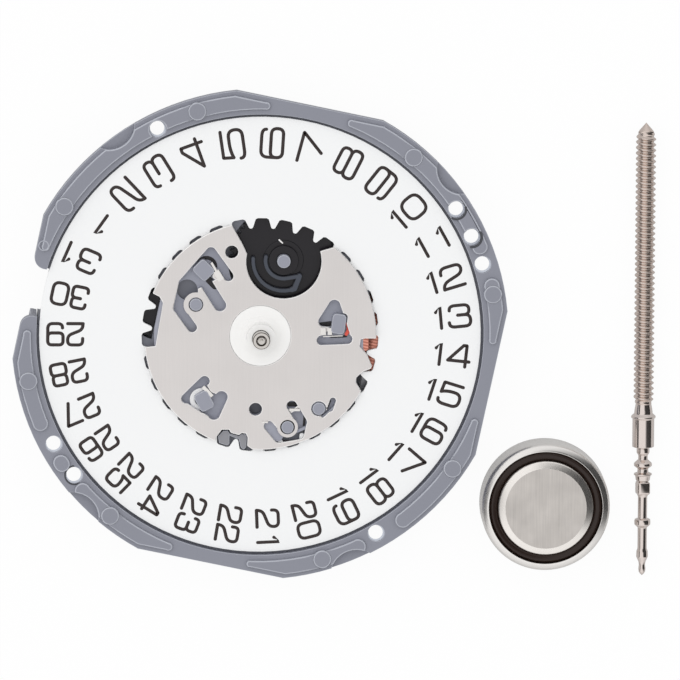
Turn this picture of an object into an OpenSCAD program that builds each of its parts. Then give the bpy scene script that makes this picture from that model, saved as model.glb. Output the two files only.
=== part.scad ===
/* [Casing ring] */
// Diameter over the ring's four round corners
ring_d = 26; // [25.8:0.1:27]
// Width across the ring's flats
ring_flats = 24.8; // [24.6:0.1:25.4]
// Width of the ring's wall at its round corners
ring_wall = 1.3; // [1.1:0.05:1.5]
// Gap between the ring and the plate that it holds
ring_clear = 0.05; // [0.02:0.01:0.1]
// Height of the ring's underside above the back
ring_bottom = 0.55; // [0.4:0.05:1.2]
// Thickness of the flange that carries the dial
flange_t = 0.5; // [0.45:0.05:1]
// How far the wall under the flange stands back from its edge
skirt_inset = 0.45; // [0.3:0.05:0.6]
// Height of the lower ledge on the dial side
ledge_height = 2.93; // [2.8:0.01:3]
// Height of the long pads on the dial side
pad_height = 3.1; // [3.05:0.01:3.12]
// Height of the round bosses that the dial rests on
dial_seat = 3.15; // [3.13:0.01:3.3]
// Radius of the round bosses
boss_r = 0.48; // [0.35:0.01:0.5]
// Radius of the holes for the dial's feet
foot_hole_r = 0.44; // [0.3:0.01:0.46]
// Distance of the foot holes' centres from the ring's bore
foot_hole_in = 0.5; // [0.45:0.01:0.6]
// Width of the opening where the stem comes in
stem_gap = 2.55; // [1.8:0.05:3]
// Radius of the hollow cut into each round corner
scallop_r = 1.35; // [1:0.05:1.6]

/* [Main plate] */
// Thickness of the plate between train and dial side
floor_t = 0.15; // [0.12:0.01:0.2]
// Depth of the pockets for the minute wheel and its neighbours
motion_depth = 0.35; // [0.33:0.01:0.4]
// Depth of the pocket under the date ring's teeth
date_depth = 0.4; // [0.38:0.01:0.45]
// Radius of the raised middle that carries the guard plate
island_r = 5.55; // [5.4:0.01:5.6]
// Height of the raised middle over the date ring's seat
island_rise = 0.35; // [0.33:0.01:0.4]

/* [Back] */
// Thickness of the back cover
cover_t = 0.15; // [0.1:0.01:0.2]
// Thickness of the circuit board
board_t = 0.2; // [0.15:0.01:0.25]
// Thickness of the train bridge
bridge_t = 0.4; // [0.35:0.01:0.5]
// Distance of the back cover's edge from the plate's edge
cover_inset = 0.65; // [0.35:0.05:1]
// Distance of the circuit board's edge from the plate's edge
board_inset = 1.25; // [0.8:0.05:1.6]
// Radius of the train bridge
bridge_r = 5.9; // [5.8:0.01:6]

/* [Date] */
// Distance of the date ring's edge from the plate's edge
date_ring_inset = 0.1; // [0.05:0.01:0.3]
// Thickness of the date ring
date_ring_t = 0.22; // [0.18:0.01:0.24]
// Radius at the roots of the date ring's teeth
tooth_root_r = 6.2; // [6.15:0.01:6.3]
// Radius at the tips of the date ring's teeth
tooth_tip_r = 5.67; // [5.62:0.01:5.7]
// Radius of the date guard plate
guard_r = 6.07; // [6:0.01:6.1]
// Thickness of the date guard plate
guard_t = 0.15; // [0.12:0.01:0.16]
// Radius of the round cut-out over the date driving wheel
guard_cut_r = 1.96; // [1.92:0.01:2]

/* [Hands] */
// Radius of the hour pipe, which carries the hour hand
hour_pipe_r = 0.75; // [0.7:0.01:0.8]
// Radius of the minute pipe, which carries the minute hand
minute_pipe_r = 0.45; // [0.43:0.01:0.46]
// Radius of the tip that carries the second hand
second_tip_r = 0.1; // [0.09:0.005:0.12]
// Height of the hour pipe's top
hour_pipe_top = 3.85; // [3.6:0.05:4]
// Height of the minute pipe's top
minute_pipe_top = 4.5; // [4.35:0.05:4.6]
// Height of the second hand's tip
second_tip_top = 4.85; // [4.75:0.05:5]
// Radius of the white disc on the hour wheel
hour_disc_r = 1.57; // [1.5:0.01:1.58]

/* [Battery] */
// Diameter of the battery
cell_d = 6.8; // [6.75:0.01:6.85]
// Height of the battery
cell_h = 2.15; // [2.1:0.01:2.2]
// Place of the loose battery from the hands' axis, along X
cell_x = 15.1; // [14.5:0.05:16]
// Place of the loose battery from the hands' axis, along Y
cell_y = -9.45; // [-10:0.05:-8]
// Room round the battery in its cavity
cell_clear = 0.1; // [0.05:0.01:0.2]

/* [Stem] */
// Radius of the stem's thread
thread_r = 0.5; // [0.45:0.01:0.55]
// Length of the threaded part
thread_len = 14.95; // [10:0.1:18]
// Radius of the thin rim at the plate's edge
rim_r = 0.65; // [0.6:0.01:0.7]
// Width of the square that drives the clutch wheel
square_w = 0.66; // [0.5:0.01:0.68]
// Place of the loose stem from the hands' axis, along X
stem_x = 20.3; // [19.6:0.05:21]
// Place of the stem's threaded end from the hands' axis, along Y
stem_y = 10.85; // [10.5:0.05:12]

/* [Hidden] */
$fn = 96;
eps = 0.01;
run = 0.02;
level_gap = 0.05;
dial_turn = -12;
date_teeth = 31;

ring_r = ring_d / 2;
ring_inner_r = ring_r - ring_wall;
plate_r = ring_inner_r - ring_clear;
date_ring_r = plate_r - date_ring_inset;
cover_r = plate_r - cover_inset;
board_r = plate_r - board_inset;
foot_hole_path = ring_inner_r + foot_hole_in;
flange_z = ledge_height - flange_t;

board_z = cover_t;
bridge_z = board_z + board_t;
train_z = bridge_z + bridge_t;
wheel_t = 0.12;
level1 = train_z + level_gap;
level2 = level1 + wheel_t + level_gap;
level3 = level2 + wheel_t + level_gap;
level4 = level3 + wheel_t + level_gap;
floor_z = level4 + 0.14 + 2 * level_gap;
motion_z = floor_z + floor_t;
date_z = motion_z + motion_depth;
seat_z = date_z + date_depth;
island_z = seat_z + island_rise;
guard_top = island_z + guard_t;
date_ring_z = seat_z + level_gap;
wheel_z = date_z + level_gap;
date_wheel_t = 0.3;

// Teeth and modules of the wheel pairs
hour_teeth = 28;
date_wheel_teeth = 56;
minute_pinion_teeth = 7;
cannon_teeth = 12;
minute_teeth = 36;
setting_teeth = 24;
corrector_teeth = 33;
rotor_teeth = 6;
fifth_teeth = 36;
fifth_pinion_teeth = 8;
second_teeth = 40;
second_pinion_teeth = 8;
third_teeth = 60;
third_pinion_teeth = 8;
center_teeth = 64;

// Centre distances, and the places that follow from them
date_pin = [0.38, 4.1];
motion_gap = 1.717;
minute_dir = 200;
minute_at = motion_gap * [cos(minute_dir), sin(minute_dir)];
corrector_at = [-5.45, 0];
setting_gap = motion_gap * (minute_teeth + setting_teeth) / (minute_teeth + cannon_teeth);
corrector_gap = 2.035;
setting_at = meet(minute_at, setting_gap, corrector_at, corrector_gap);
train_gap = 2.72;
third_dir = 115;
third_at = train_gap * [cos(third_dir), sin(third_dir)];
fifth_dir = -35;
fifth_at = train_gap * [cos(fifth_dir), sin(fifth_dir)];
rotor_gap = 1.68;
rotor_dir = -20;
rotor_at = fifth_at + rotor_gap * [cos(rotor_dir), sin(rotor_dir)];

hour_module = 2 * norm(date_pin) / (hour_teeth + date_wheel_teeth);
minute_pinion_module = 2 * motion_gap / (hour_teeth + minute_pinion_teeth);
cannon_module = 2 * motion_gap / (cannon_teeth + minute_teeth);
corrector_module = 2 * corrector_gap / (setting_teeth + corrector_teeth);
rotor_module = 2 * rotor_gap / (rotor_teeth + fifth_teeth);
fifth_module = 2 * train_gap / (fifth_pinion_teeth + second_teeth);
second_module = 2 * train_gap / (second_pinion_teeth + third_teeth);
third_module = 2 * train_gap / (third_pinion_teeth + center_teeth);

// Battery, coil, crystal and screws
cell_r = cell_d / 2;
cavity_at = [2, -7.49];
cavity_r = cell_r + cell_clear;
coil_x = 6.1;
coil_y0 = -0.75;
coil_y1 = 5.5;
coil_r = 0.88;
core_w = 0.6;
core_t = 0.3;
core_y0 = -2.1;
core_y1 = 6.9;
stator_top = level3 + 0.26;
stator_t = 0.28;
stator_hole_r = 0.72;
magnet_r = 0.55;
crystal_at = [-5.7, 6.8];
crystal_dir = 40;
crystal_len = 5;
crystal_r = 0.7;
chip_at = [-0.6, 8.4];
chip_w = 2;
chip_t = 0.3;
screw_at = [[-4.3, 3.6], [2.5, 5], [-3.2, -4.6]];
screw_r = 0.3;
screw_head_r = 0.6;
clamp_gap_w = 4.4;
contact_w = 1;
contact_len = 3.6;
contact_t = 0.1;

// Winding and setting works, with the stem's axis at this height
stem_z = 1.25;
groove_x = -8.8;
clutch_x = -7.9;
clutch_len = 0.9;
clutch_r = 0.75;
clutch_neck_r = 0.5;
pilot_r = 0.44;
lever_z = 1.1;
lever_t = 0.25;
lever_pivot = [-9.5, 2.5];
yoke_pivot = [-8.15, -2.9];
reset_pivot = [-4.2, -2.1];
reset_tip = [1.4, -3.25];
pivot_r = 0.27;
works_box = [[-10.6, -3.6], [-6.7, 3.3]];
neck_len = 3.5;
tip_len = 5.08;

// Posts, hooks and holes of the dial side
post_r = 0.33;
post_hole_r = 0.38;
post_at = [[-3.64, 0.93], [2.42, -4.46], [3.82, -3.17]];
hook_at = [[-3.63, 2.8], [3.88, 1.45], [-2.15, -3.99]];
hook_size = [[0.95, 0.85], [0.72, 1.05], [0.78, 1]];
hook_dir = [-33, 4, 40];
hook_top = guard_top + 0.06;
sight_hole_r = 0.33;
sight_at = [[-2.39, 4.04], [0.58, -3.87]];

// Angles of the casing ring's features, from three o'clock
foot_hole_dir = [128.1, 45.1, 37.2, 29.8, 219.9, 229.2, 312.1];
boss_dir = [158, 117.6, 61.8, 22.1, 336.9, 297.4, 242.5, 202.9];
boss_path = ring_inner_r + 0.65;
scallop_dir = [137.2, 51.9, 303.7, 236.5];
scallop_path = ring_r + 0.75;
scallop_depth = 0.25;
pad_span = [[99.8, 169.8], [32.4, 80], [9.8, 26], [317.5, 350.3], [278.8, 308.5],
            [231.5, 259.7], [222.8, 227], [190.4, 215.6]];
pad_in_r = ring_inner_r + 0.28;
pad_out_r = ring_r - 0.22;
pad_flats = ring_flats - 0.5;
gap_at = -0.125;
rim_notch = 0.25;
gap_round = 0.6;

// Small sizes of the date works
slot_depth = 0.25;
disc_gap = 0.03;
corrector_open_x = -5.5;
hub_r = 0.78;
step_r = 1.05;
step_t = 0.06;
finger_r = [0.95, 1.6];
finger_w = 0.24;
date_pin_r = 0.35;
post2_r = 0.25;
finger_t = 0.25;
second_arbor_r = 0.15;
rotor_arbor_r = 0.1;

// Seats of the hands: the minute pipe's seat, its wider mouth, and the tapers under the seats
minute_seat_z = minute_pipe_top - 0.52;
pipe_taper = 0.6;
pipe_mouth_r = 0.25;
pipe_mouth_z = minute_pipe_top - 0.95;
second_seat_z = minute_pipe_top + level_gap;

// Small sizes of the rotor, the teeth and the jumper
magnet_z = level1 + 0.22;
tooth_root_w = 0.6;
tooth_tip_w = 0.16;
tooth_dir = 95.3;
jumper_path = 5.17;
jumper_pin_dir = 287.5;
gasket_r = cell_r - 0.42;
cap_r = cell_r - 0.88;
cap_depth = 0.67;
tongue_t = 0.1;
tongues = [[[-2.6, 2.45], [-2.95, 2.62], 0.36], [[-1.75, -3.15], [-1.95, -3.35], 0.2],
           [[2.9, 1.0], [3.4, 1.05], 0.26], [[2.45, -3.62], [2.75, -3.3], 0.14]];

// Turn of each wheel that brings its teeth into mesh with the wheel before it
hour_phase = 0;
wheel_phase = mesh(hour_phase, hour_teeth, date_wheel_teeth, [0, 0], date_pin);
minute_pinion_phase = mesh(hour_phase, hour_teeth, minute_pinion_teeth, [0, 0], minute_at);
minute_phase = mesh(0, cannon_teeth, minute_teeth, [0, 0], minute_at);
setting_phase = mesh(minute_phase, minute_teeth, setting_teeth, minute_at, setting_at);
corrector_phase = mesh(setting_phase, setting_teeth, corrector_teeth, setting_at, corrector_at);
third_phase = mesh(0, second_pinion_teeth, third_teeth, [0, 0], third_at);
third_pinion_phase = 0;
center_phase = mesh(third_pinion_phase, third_pinion_teeth, center_teeth, third_at, [0, 0]);
fifth_pinion_phase = 0;
second_phase = mesh(fifth_pinion_phase, fifth_pinion_teeth, second_teeth, fifth_at, [0, 0]);
fifth_phase = 0;
rotor_phase = mesh(fifth_phase, fifth_teeth, rotor_teeth, fifth_at, rotor_at);

function dir(a) = [cos(a), sin(a)];

// Turn in steps for wheel b, so that a gap of b faces the tooth of a on the line of centres
function mesh(turn_a, teeth_a, teeth_b, a, b) =
    let (line = atan2(b[1] - a[1], b[0] - a[0]),
         steps_a = line * teeth_a / 360 - turn_a,
         steps_b = (line + 180) * teeth_b / 360)
    0.5 + steps_b + (steps_a - floor(steps_a));

// Point at one distance from a and another from b, on the right of a to b
function meet(a, ra, b, rb) =
    let (d = norm(b - a),
         u = (b - a) / d,
         along = (ra * ra - rb * rb + d * d) / (2 * d),
         off = sqrt(ra * ra - along * along))
    a + along * u + off * [-u[1], u[0]];

// Turns the movement as it lies: twelve o'clock a little clockwise of +Y
module dial() {
    rotate([0, 0, dial_turn]) children();
}

module at(p, z = 0) {
    translate([p[0], p[1], z]) children();
}

// Flat bar with round ends between two points
module bar(p, q, w) {
    d = q - p;
    translate(p) circle(d = w);
    translate(q) circle(d = w);
    translate(p) rotate(atan2(d[1], d[0])) translate([0, -w / 2]) square([norm(d), w]);
}

module wedge(a0, a1, r) {
    m = (a0 + a1) / 2;
    polygon([[0, 0], r * [cos(a0), sin(a0)], 1.6 * r * [cos(m), sin(m)], r * [cos(a1), sin(a1)]]);
}

// Curved bar with round ends on a circle
module arc_bar(r, w, a0, a1) {
    intersection() {
        difference() {
            circle(r = r + w / 2);
            circle(r = r - w / 2);
        }
        wedge(a0, a1, 2 * r);
    }
    for (a = [a0, a1]) rotate(a) translate([r, 0]) circle(d = w);
}

// Toothed outline, turned by a share of one tooth: flanks run from a wide root to a narrow tip
module teeth(n, m, turn = 0) {
    tip = m * (n / 2 + 0.8);
    root = m * (n / 2 - 1.05);
    step = 360 / n;
    polygon([for (i = [0 : n - 1]) for (p = [[root, -0.34], [tip, -0.13], [tip, 0.13], [root, 0.34]])
        p[0] * dir((i + turn + p[1]) * step)]);
}

module gear(n, m, z, t, bore = 0, turn = 0) {
    translate([0, 0, z]) linear_extrude(t) difference() {
        teeth(n, m, turn);
        if (bore > 0) circle(r = bore);
    }
}

module rod(r, z0, z1) {
    translate([0, 0, z0]) cylinder(r = r, h = z1 - z0);
}

module tube(r, bore, z0, z1) {
    difference() {
        rod(r, z0, z1);
        rod(bore, z0 - eps, z1 + eps);
    }
}

// Wheel web with five windows and spokes between them
module windows(r_out, r_in, z, t) {
    for (i = [0 : 4]) rotate(i * 72)
        translate([0, 0, z - eps]) linear_extrude(t + 2 * eps) difference() {
            intersection() {
                circle(r = r_out);
                wedge(12, 60, 2 * r_out);
            }
            circle(r = r_in);
        }
}

module round_square(size, r) {
    for (x = [-1, 1]) for (y = [-1, 1])
        translate([x * (size[0] / 2 - r), y * (size[1] / 2 - r)]) circle(r = r);
    square([size[0] - 2 * r, size[1]], center = true);
    square([size[0], size[1] - 2 * r], center = true);
}

module ring_outline(flats, r_out, r_in) {
    difference() {
        intersection() {
            circle(r = r_out);
            square(flats, center = true);
        }
        circle(r = r_in);
    }
}

// How far out the pads reach at an angle, and the angle that their round end takes up there
function pad_reach(a) = min(pad_out_r, pad_flats / 2 / cos(a - 90 * round(a / 90)));
function pad_end(a) = 180 / PI * (pad_reach(a) - pad_in_r) / (pad_reach(a) + pad_in_r);

module ring_pads() {
    for (s = pad_span) {
        ends = [s[0] + pad_end(s[0]), s[1] - pad_end(s[1])];
        intersection() {
            ring_outline(pad_flats, pad_out_r, pad_in_r);
            wedge(ends[0], ends[1], 2 * ring_r);
        }
        for (a = ends) rotate(a) translate([(pad_in_r + pad_reach(a)) / 2, 0])
            circle(r = (pad_reach(a) - pad_in_r) / 2 + eps);
    }
}

// Opening for the stem, with its outer corners rounded off
module stem_opening() {
    x = -ring_flats / 2;
    translate([-ring_r - 1, gap_at - stem_gap / 2]) square([3, stem_gap]);
    for (s = [-1, 1]) translate([0, gap_at + s * (stem_gap / 2 + gap_round / 2)]) difference() {
        translate([x - 1, -gap_round / 2 - eps]) square([1 + gap_round, gap_round + 2 * eps]);
        translate([x + gap_round, s * gap_round / 2]) circle(r = gap_round);
    }
}

module casing_ring() {
    color([0.56, 0.57, 0.6]) dial() difference() {
        union() {
            translate([0, 0, flange_z]) linear_extrude(flange_t)
                ring_outline(ring_flats, ring_r, ring_inner_r);
            // thinner wall under the flange, open round the foot holes
            translate([0, 0, ring_bottom]) linear_extrude(flange_z - ring_bottom + eps) difference() {
                ring_outline(ring_flats - 2 * skirt_inset, ring_r - skirt_inset, ring_inner_r);
                for (a = foot_hole_dir) rotate(a) translate([foot_hole_path, 0])
                    circle(r = foot_hole_r + skirt_inset);
            }
            translate([0, 0, ledge_height - eps]) linear_extrude(pad_height - ledge_height + eps)
                ring_pads();
            for (a = boss_dir) rotate(a) translate([boss_path, 0, 0])
                rod(boss_r, ledge_height - eps, dial_seat);
        }
        for (a = foot_hole_dir) rotate(a) translate([foot_hole_path, 0, 0])
            rod(foot_hole_r, flange_z - eps, dial_seat + eps);
        for (a = scallop_dir) rotate(a) translate([scallop_path, 0, 0])
            rod(scallop_r, ledge_height - scallop_depth, dial_seat + eps);
        translate([0, 0, ring_bottom - eps]) linear_extrude(dial_seat) stem_opening();
    }
}

// Room for the train, leaving walls at the battery and bosses at the screws
module train_room() {
    difference() {
        circle(r = 5.35);
        translate(cavity_at) circle(r = cavity_r + 0.4);
        for (p = screw_at) translate(p) circle(r = screw_head_r + 0.15);
    }
}

module works_room() {
    translate(works_box[0]) square(works_box[1] - works_box[0]);
}

module coil_room() {
    translate([coil_x - 0.95, coil_y0 - 0.15]) square([1.9, coil_y1 - coil_y0 + 0.3]);
}

module stator_outline(grow = 0) {
    w = 0.9 + 2 * grow;
    difference() {
        union() {
            translate(rotor_at) circle(r = stator_hole_r + 0.42 + grow);
            bar(rotor_at, [4.2, 0.6], w);
            bar([4.2, 0.6], [4.2, 5.6], w);
            bar([4.2, 5.6], [coil_x, core_y1 - 0.4], w);
            bar(rotor_at, [coil_x, core_y0 + 0.4], w);
        }
        if (grow == 0) translate(rotor_at) {
            circle(r = stator_hole_r);
            for (a = [35, 215]) rotate(a) translate([stator_hole_r, 0]) circle(r = 0.12);
        }
    }
}

module jumper_room() {
    intersection() {
        difference() {
            circle(r = island_r + 0.1);
            circle(r = 4.85);
        }
        wedge(256, 293, 3 * island_r);
    }
}

module main_plate() {
    color([0.6, 0.61, 0.64]) dial() {
        difference() {
            union() {
                rod(plate_r, bridge_z, seat_z);
                rod(island_r, seat_z - eps, island_z);
            }
            // back side
            rod(bridge_r + level_gap, bridge_z - eps, train_z);
            translate([0, 0, train_z - eps]) linear_extrude(floor_z - train_z + eps) train_room();
            at(cavity_at) rod(cavity_r, bridge_z - eps, bridge_z + cell_h - 0.35);
            translate([0, 0, bridge_z - eps]) linear_extrude(lever_z + lever_t + 0.1 - bridge_z)
                works_room();
            translate([0, 0, bridge_z - eps]) linear_extrude(seat_z - bridge_z + 2 * eps) coil_room();
            translate([0, 0, bridge_z - eps]) linear_extrude(stator_top - bridge_z + eps)
                stator_outline(0.06);
            translate([coil_x - core_w / 2 - 0.05, core_y0 - 0.05, bridge_z - eps])
                cube([core_w + 0.1, core_y1 - core_y0 + 0.1, stator_top + core_t - bridge_z + eps]);
            translate([coil_x - 0.8, core_y0 - 0.7, bridge_z - eps]) cube([1.6, 1.2, 0.9]);
            at(crystal_at) rotate(crystal_dir)
                translate([-crystal_len / 2 - 0.3, -crystal_r - 0.1, bridge_z - eps])
                    cube([crystal_len + 0.6, 2 * crystal_r + 0.2, 2 * crystal_r + 0.1]);
            at(chip_at, bridge_z - eps) translate([-chip_w / 2 - 0.1, -chip_w / 2 - 0.1, 0])
                cube([chip_w + 0.2, chip_w + 0.2, chip_t + 0.1]);
            translate([clutch_x - 0.5, -clutch_r - 0.1, bridge_z - eps])
                cube([1.8, 2 * clutch_r + 0.2, stem_z + clutch_r + 0.05 - bridge_z]);
            translate([-plate_r - 1, 0, stem_z]) rotate([0, 90, 0])
                cylinder(r = rim_r - 0.03, h = plate_r + 1 + works_box[0][0] + eps);
            translate([works_box[1][0] - eps, 0, stem_z]) rotate([0, 90, 0])
                cylinder(r = pilot_r + run, h = 1.6);
            for (p = screw_at) at(p) rod(screw_r, train_z - eps, floor_z);
            // dial side
            rod(hour_disc_r + 0.1, date_z, island_z + eps);
            rod(cannon_module * (cannon_teeth / 2 + 0.8) + 0.06, motion_z, island_z);
            rod(minute_pipe_r + level_gap, train_z, motion_z + eps);
            at(minute_at)
                tube(cannon_module * (minute_teeth / 2 + 0.8) + 0.08, 0.15, motion_z, island_z + eps);
            at(setting_at)
                tube(cannon_module * (setting_teeth / 2 + 0.8) + 0.08, 0.2, motion_z, island_z + eps);
            at(corrector_at) tube(1.42, post2_r, motion_z, wheel_z + 0.33);
            translate([0, 0, wheel_z + 0.15]) linear_extrude(island_z) intersection() {
                translate(corrector_at) circle(r = 1.42);
                translate([corrector_open_x - 4, -3]) square([4, 6]);
            }
            at(corrector_at) rod(post2_r + eps, wheel_z + 0.13, wheel_z + 0.33);
            at(date_pin)
                tube(hour_module * (date_wheel_teeth / 2 + 0.8) + 0.08, 0.35, date_z, island_z + eps);
            translate([0, 0, seat_z]) linear_extrude(island_rise + eps) jumper_room();
            at([-4.23, 1.55]) rod(0.54, island_z - 0.45, island_z + eps);
            // sunk floor under the guard plate's slots
            translate([0, 0, island_z - slot_depth]) linear_extrude(slot_depth + eps) intersection() {
                guard_slots();
                circle(r = island_r - 0.15);
            }
            for (p = sight_at) at(p) rod(sight_hole_r, island_z - 0.6, island_z + eps);
            // notches in the rim, under the ring's foot holes and at its opening for the stem
            for (a = foot_hole_dir) rotate(a) translate([foot_hole_path, 0, 0])
                rod(foot_hole_r + skirt_inset, bridge_z - eps, seat_z + eps);
            translate([-plate_r - 1, gap_at - stem_gap / 2, bridge_z - eps])
                cube([1 + rim_notch, stem_gap, seat_z - bridge_z + 2 * eps]);
            at([5.72, -1.4]) rod(0.55, seat_z - 1, island_z + eps);
            // pivot holes of the train, from the back
            for (p = [third_at, fifth_at, rotor_at]) at(p) rod(0.09, floor_z - eps, floor_z + 0.12);
            // keeps the posts of the pockets under what covers them
            for (p = [minute_at, setting_at]) at(p) rod(0.6, date_z + 0.45, island_z + eps);
        }
        for (p = post_at) at(p) rod(post_r, island_z - 0.6, guard_top + 0.03);
        at(date_pin) rod(0.35, island_z - 0.2, guard_top + 0.02);
        for (i = [0 : 2]) at(hook_at[i], island_z - 0.3) rotate(hook_dir[i])
            linear_extrude(hook_top - island_z + 0.3) round_square(hook_size[i], 0.2);
        // pivot posts of the winding works
        for (p = [lever_pivot, yoke_pivot]) at(p) rod(pivot_r, bridge_z + 0.3, lever_z + lever_t + 0.11);
        at(reset_pivot) rod(pivot_r * 0.7, train_z, floor_z + eps);
        // pin of the date jumper
        rotate(jumper_pin_dir) translate([jumper_path, 0, 0]) rod(0.15, seat_z - 0.2, island_z);
    }
}

module date_ring() {
    step = 360 / date_teeth;
    root_half = asin(tooth_root_w / 2 / tooth_root_r);
    tip_half = asin(tooth_tip_w / 2 / tooth_tip_r);
    // one tooth: root corner, flank, rounded tip, and back
    profile = [[tooth_root_r, -root_half - 0.9], [tooth_root_r - 0.06, -root_half + 0.2],
               [tooth_tip_r + 0.05, -tip_half * 1.3], [tooth_tip_r, -tip_half * 0.6],
               [tooth_tip_r, tip_half * 0.6], [tooth_tip_r + 0.05, tip_half * 1.3],
               [tooth_root_r - 0.06, root_half - 0.2], [tooth_root_r, root_half + 0.9]];
    color([0.97, 0.98, 0.99]) dial() translate([0, 0, date_ring_z]) linear_extrude(date_ring_t)
        difference() {
            circle(r = date_ring_r);
            polygon([for (i = [0 : date_teeth - 1]) for (p = profile)
                p[0] * dir(tooth_dir + i * step + p[1])]);
        }
}

// Slots of the guard plate, one for each hook, with the arms that spring them
module guard_slots() {
    for (i = [0 : 2]) translate(hook_at[i]) rotate(hook_dir[i])
        round_square(hook_size[i] + 2 * level_gap * [1, 1], 0.2);
    bar([-3.45, 3.8], [-2.3, 2.75], 0.52);
    bar([-3.45, 3.8], [-4.5, 1.9], 0.52);
    bar([-4.5, 1.9], [-4.5, 0.55], 0.5);
    bar([-4.5, 0.55], [-3.58, -0.3], 0.48);
    bar([-3.6, 2.4], [-2.4, 1.15], 0.62);
    polygon([[-4.5, 1.9], [-4.3, 2.7], [-3.5, 3.7], [-2.75, 2.6], [-3.4, 2], [-3.95, 1.6]]);
    translate([-4.2, 1.55]) circle(r = 0.52);
    bar([-2.35, -2.95], [-3.08, -4.05], 0.52);
    bar([-3.08, -4.05], [-1.5, -4.6], 0.4);
    bar([-1.5, -4.55], [-1.3, -3.6], 0.62);
    polygon([[-3.1, -4], [-2.35, -3], [-1.9, -3.45], [-1.2, -3.6], [-1.4, -4.6]]);
    bar([3.46, 2.35], [3.12, 1.42], 0.6);
    bar([3.46, 2.35], [4.25, 1], 0.6);
    polygon([[3.3, 2.4], [3, 1.2], [3.3, 1.1], [3.4, 0.7], [4.4, 0.8], [3.75, 2.4]]);
    bar([3.2, 0.42], [4.5, 0.75], 0.5);
    bar([2.4, -3.3], [3.1, -4.05], 0.52);
    bar([3.1, -4.05], [3.1, -4.72], 0.5);
    bar([3.1, -4.72], [2.1, -5.12], 0.5);
    bar([2.1, -5.12], [1.45, -4.6], 0.5);
    bar([4.45, -2.6], [4.4, -3.05], 0.3);
    bar([4.4, -3.05], [4.1, -3.5], 0.16);
}

// Notches in the guard plate's edge, where the coil and the teeth show
module guard_notches() {
    polygon([[-7, 1.3], [-5.6, 0.95], [-5.35, 0.65], [-5.25, -1.65], [-5.9, -1.85], [-7, -1.9]]);
    polygon([[-1.1, -7], [-1.12, -5.75], [-0.92, -5.3], [-0.55, -5.22], [-0.42, -5.37], [0.03, -5.4],
             [0.14, -5.26], [0.36, -5.24], [0.49, -5.44], [0.56, -5.87], [0.92, -6.02], [1, -7]]);
    polygon([[7, 1.3], [5.4, 0.97], [5.2, 0.87], [5.22, 0.5], [5.65, 0.2], [6.12, -0.45], [7, 0.2]]);
    polygon([[7, -0.6], [6.1, -0.5], [5.7, -0.75], [5.52, -0.97], [5.4, -1.16], [5.44, -1.4],
             [5.87, -1.88], [7, -2]]);
}

module date_guard_plate() {
    color([0.84, 0.83, 0.82]) dial() {
        translate([0, 0, island_z]) linear_extrude(guard_t) difference() {
            circle(r = guard_r);
            circle(r = hour_disc_r + disc_gap);
            translate(date_pin) circle(r = guard_cut_r);
            polygon([date_pin, [2.13, 5.03], [3.4, 5.7], [3, 7.5], [-3.6, 7.5], [-3.12, 5.95],
                     [-2.25, 4.93], [-2, 4.66], [-1.58, date_pin[1]]]);
            guard_notches();
            guard_slots();
            for (p = post_at) translate(p) circle(r = post_hole_r);
            for (p = sight_at) translate(p) circle(r = sight_hole_r);
        }
        // spring tongues that latch under the hooks
        for (t = tongues) translate([0, 0, island_z]) linear_extrude(tongue_t) bar(t[0], t[1], t[2]);
    }
}

module date_jumper() {
    pad_t = island_rise - 0.06;
    color([0.55, 0.56, 0.59]) dial() difference() {
        translate([0, 0, seat_z + 0.03]) union() {
            linear_extrude(pad_t)
                polygon([[-1.03, -5.7], [-0.82, -5.36], [-0.58, -5.3], [-0.46, -5.43], [0.05, -5.47],
                         [0.16, -5.34], [0.36, -5.32], [0.47, -5.46], [0.54, -5.95], [0.46, -6.12],
                         [0.28, -6.08], [0.07, -5.64], [-0.45, -5.56], [-0.36, -5.98], [-0.46, -6.1],
                         [-0.9, -6.05]]);
            translate([0, 0, 0.03]) linear_extrude(pad_t - 0.06) {
                bar([0.22, -5.52], jumper_path * dir(276), 0.18);
                arc_bar(jumper_path, 0.18, 276, jumper_pin_dir - 2);
            }
            rotate(jumper_pin_dir) translate([jumper_path, 0]) cylinder(r = 0.32, h = pad_t);
        }
        rotate(jumper_pin_dir) translate([jumper_path, 0, 0]) rod(0.15 + run, seat_z, island_z);
    }
}

module date_driving_wheel() {
    color([0.1, 0.1, 0.11]) dial() at(date_pin) {
        gear(date_wheel_teeth, hour_module, wheel_z, date_wheel_t, date_pin_r + run, wheel_phase);
        tube(step_r, date_pin_r + run, wheel_z + date_wheel_t - eps, wheel_z + date_wheel_t + step_t);
        tube(hub_r, date_pin_r + run, wheel_z + date_wheel_t, seat_z + 0.2);
    }
}

// Sprung finger that pushes the date ring on by one tooth a day
module date_finger() {
    z0 = wheel_z + date_wheel_t + step_t;
    heel = 1.17 * dir(327);
    color([0.16, 0.16, 0.18]) dial() at(date_pin) translate([0, 0, z0]) linear_extrude(finger_t) {
        arc_bar(finger_r[0], finger_w, 180, 292);
        arc_bar(finger_r[1], finger_w, 188, 298);
        bar(finger_r[0] * dir(292), heel, finger_w);
        bar(heel, finger_r[1] * dir(303), 1.3 * finger_w);
        bar(finger_r[1] * dir(303), finger_r[1] * dir(298), 1.3 * finger_w);
    }
}

module date_corrector_wheel() {
    color([0.1, 0.1, 0.11]) dial() at(corrector_at) {
        gear(corrector_teeth, corrector_module, motion_z + level_gap, 0.2, post2_r + run, corrector_phase);
        tube(0.62, post2_r + run, motion_z + level_gap + 0.19, wheel_z + eps);
        gear(20, 0.12, wheel_z, 0.15, post2_r + run);
        gear(20, 0.12, wheel_z + 0.15 - eps, 0.13 + eps);
    }
}

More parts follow.
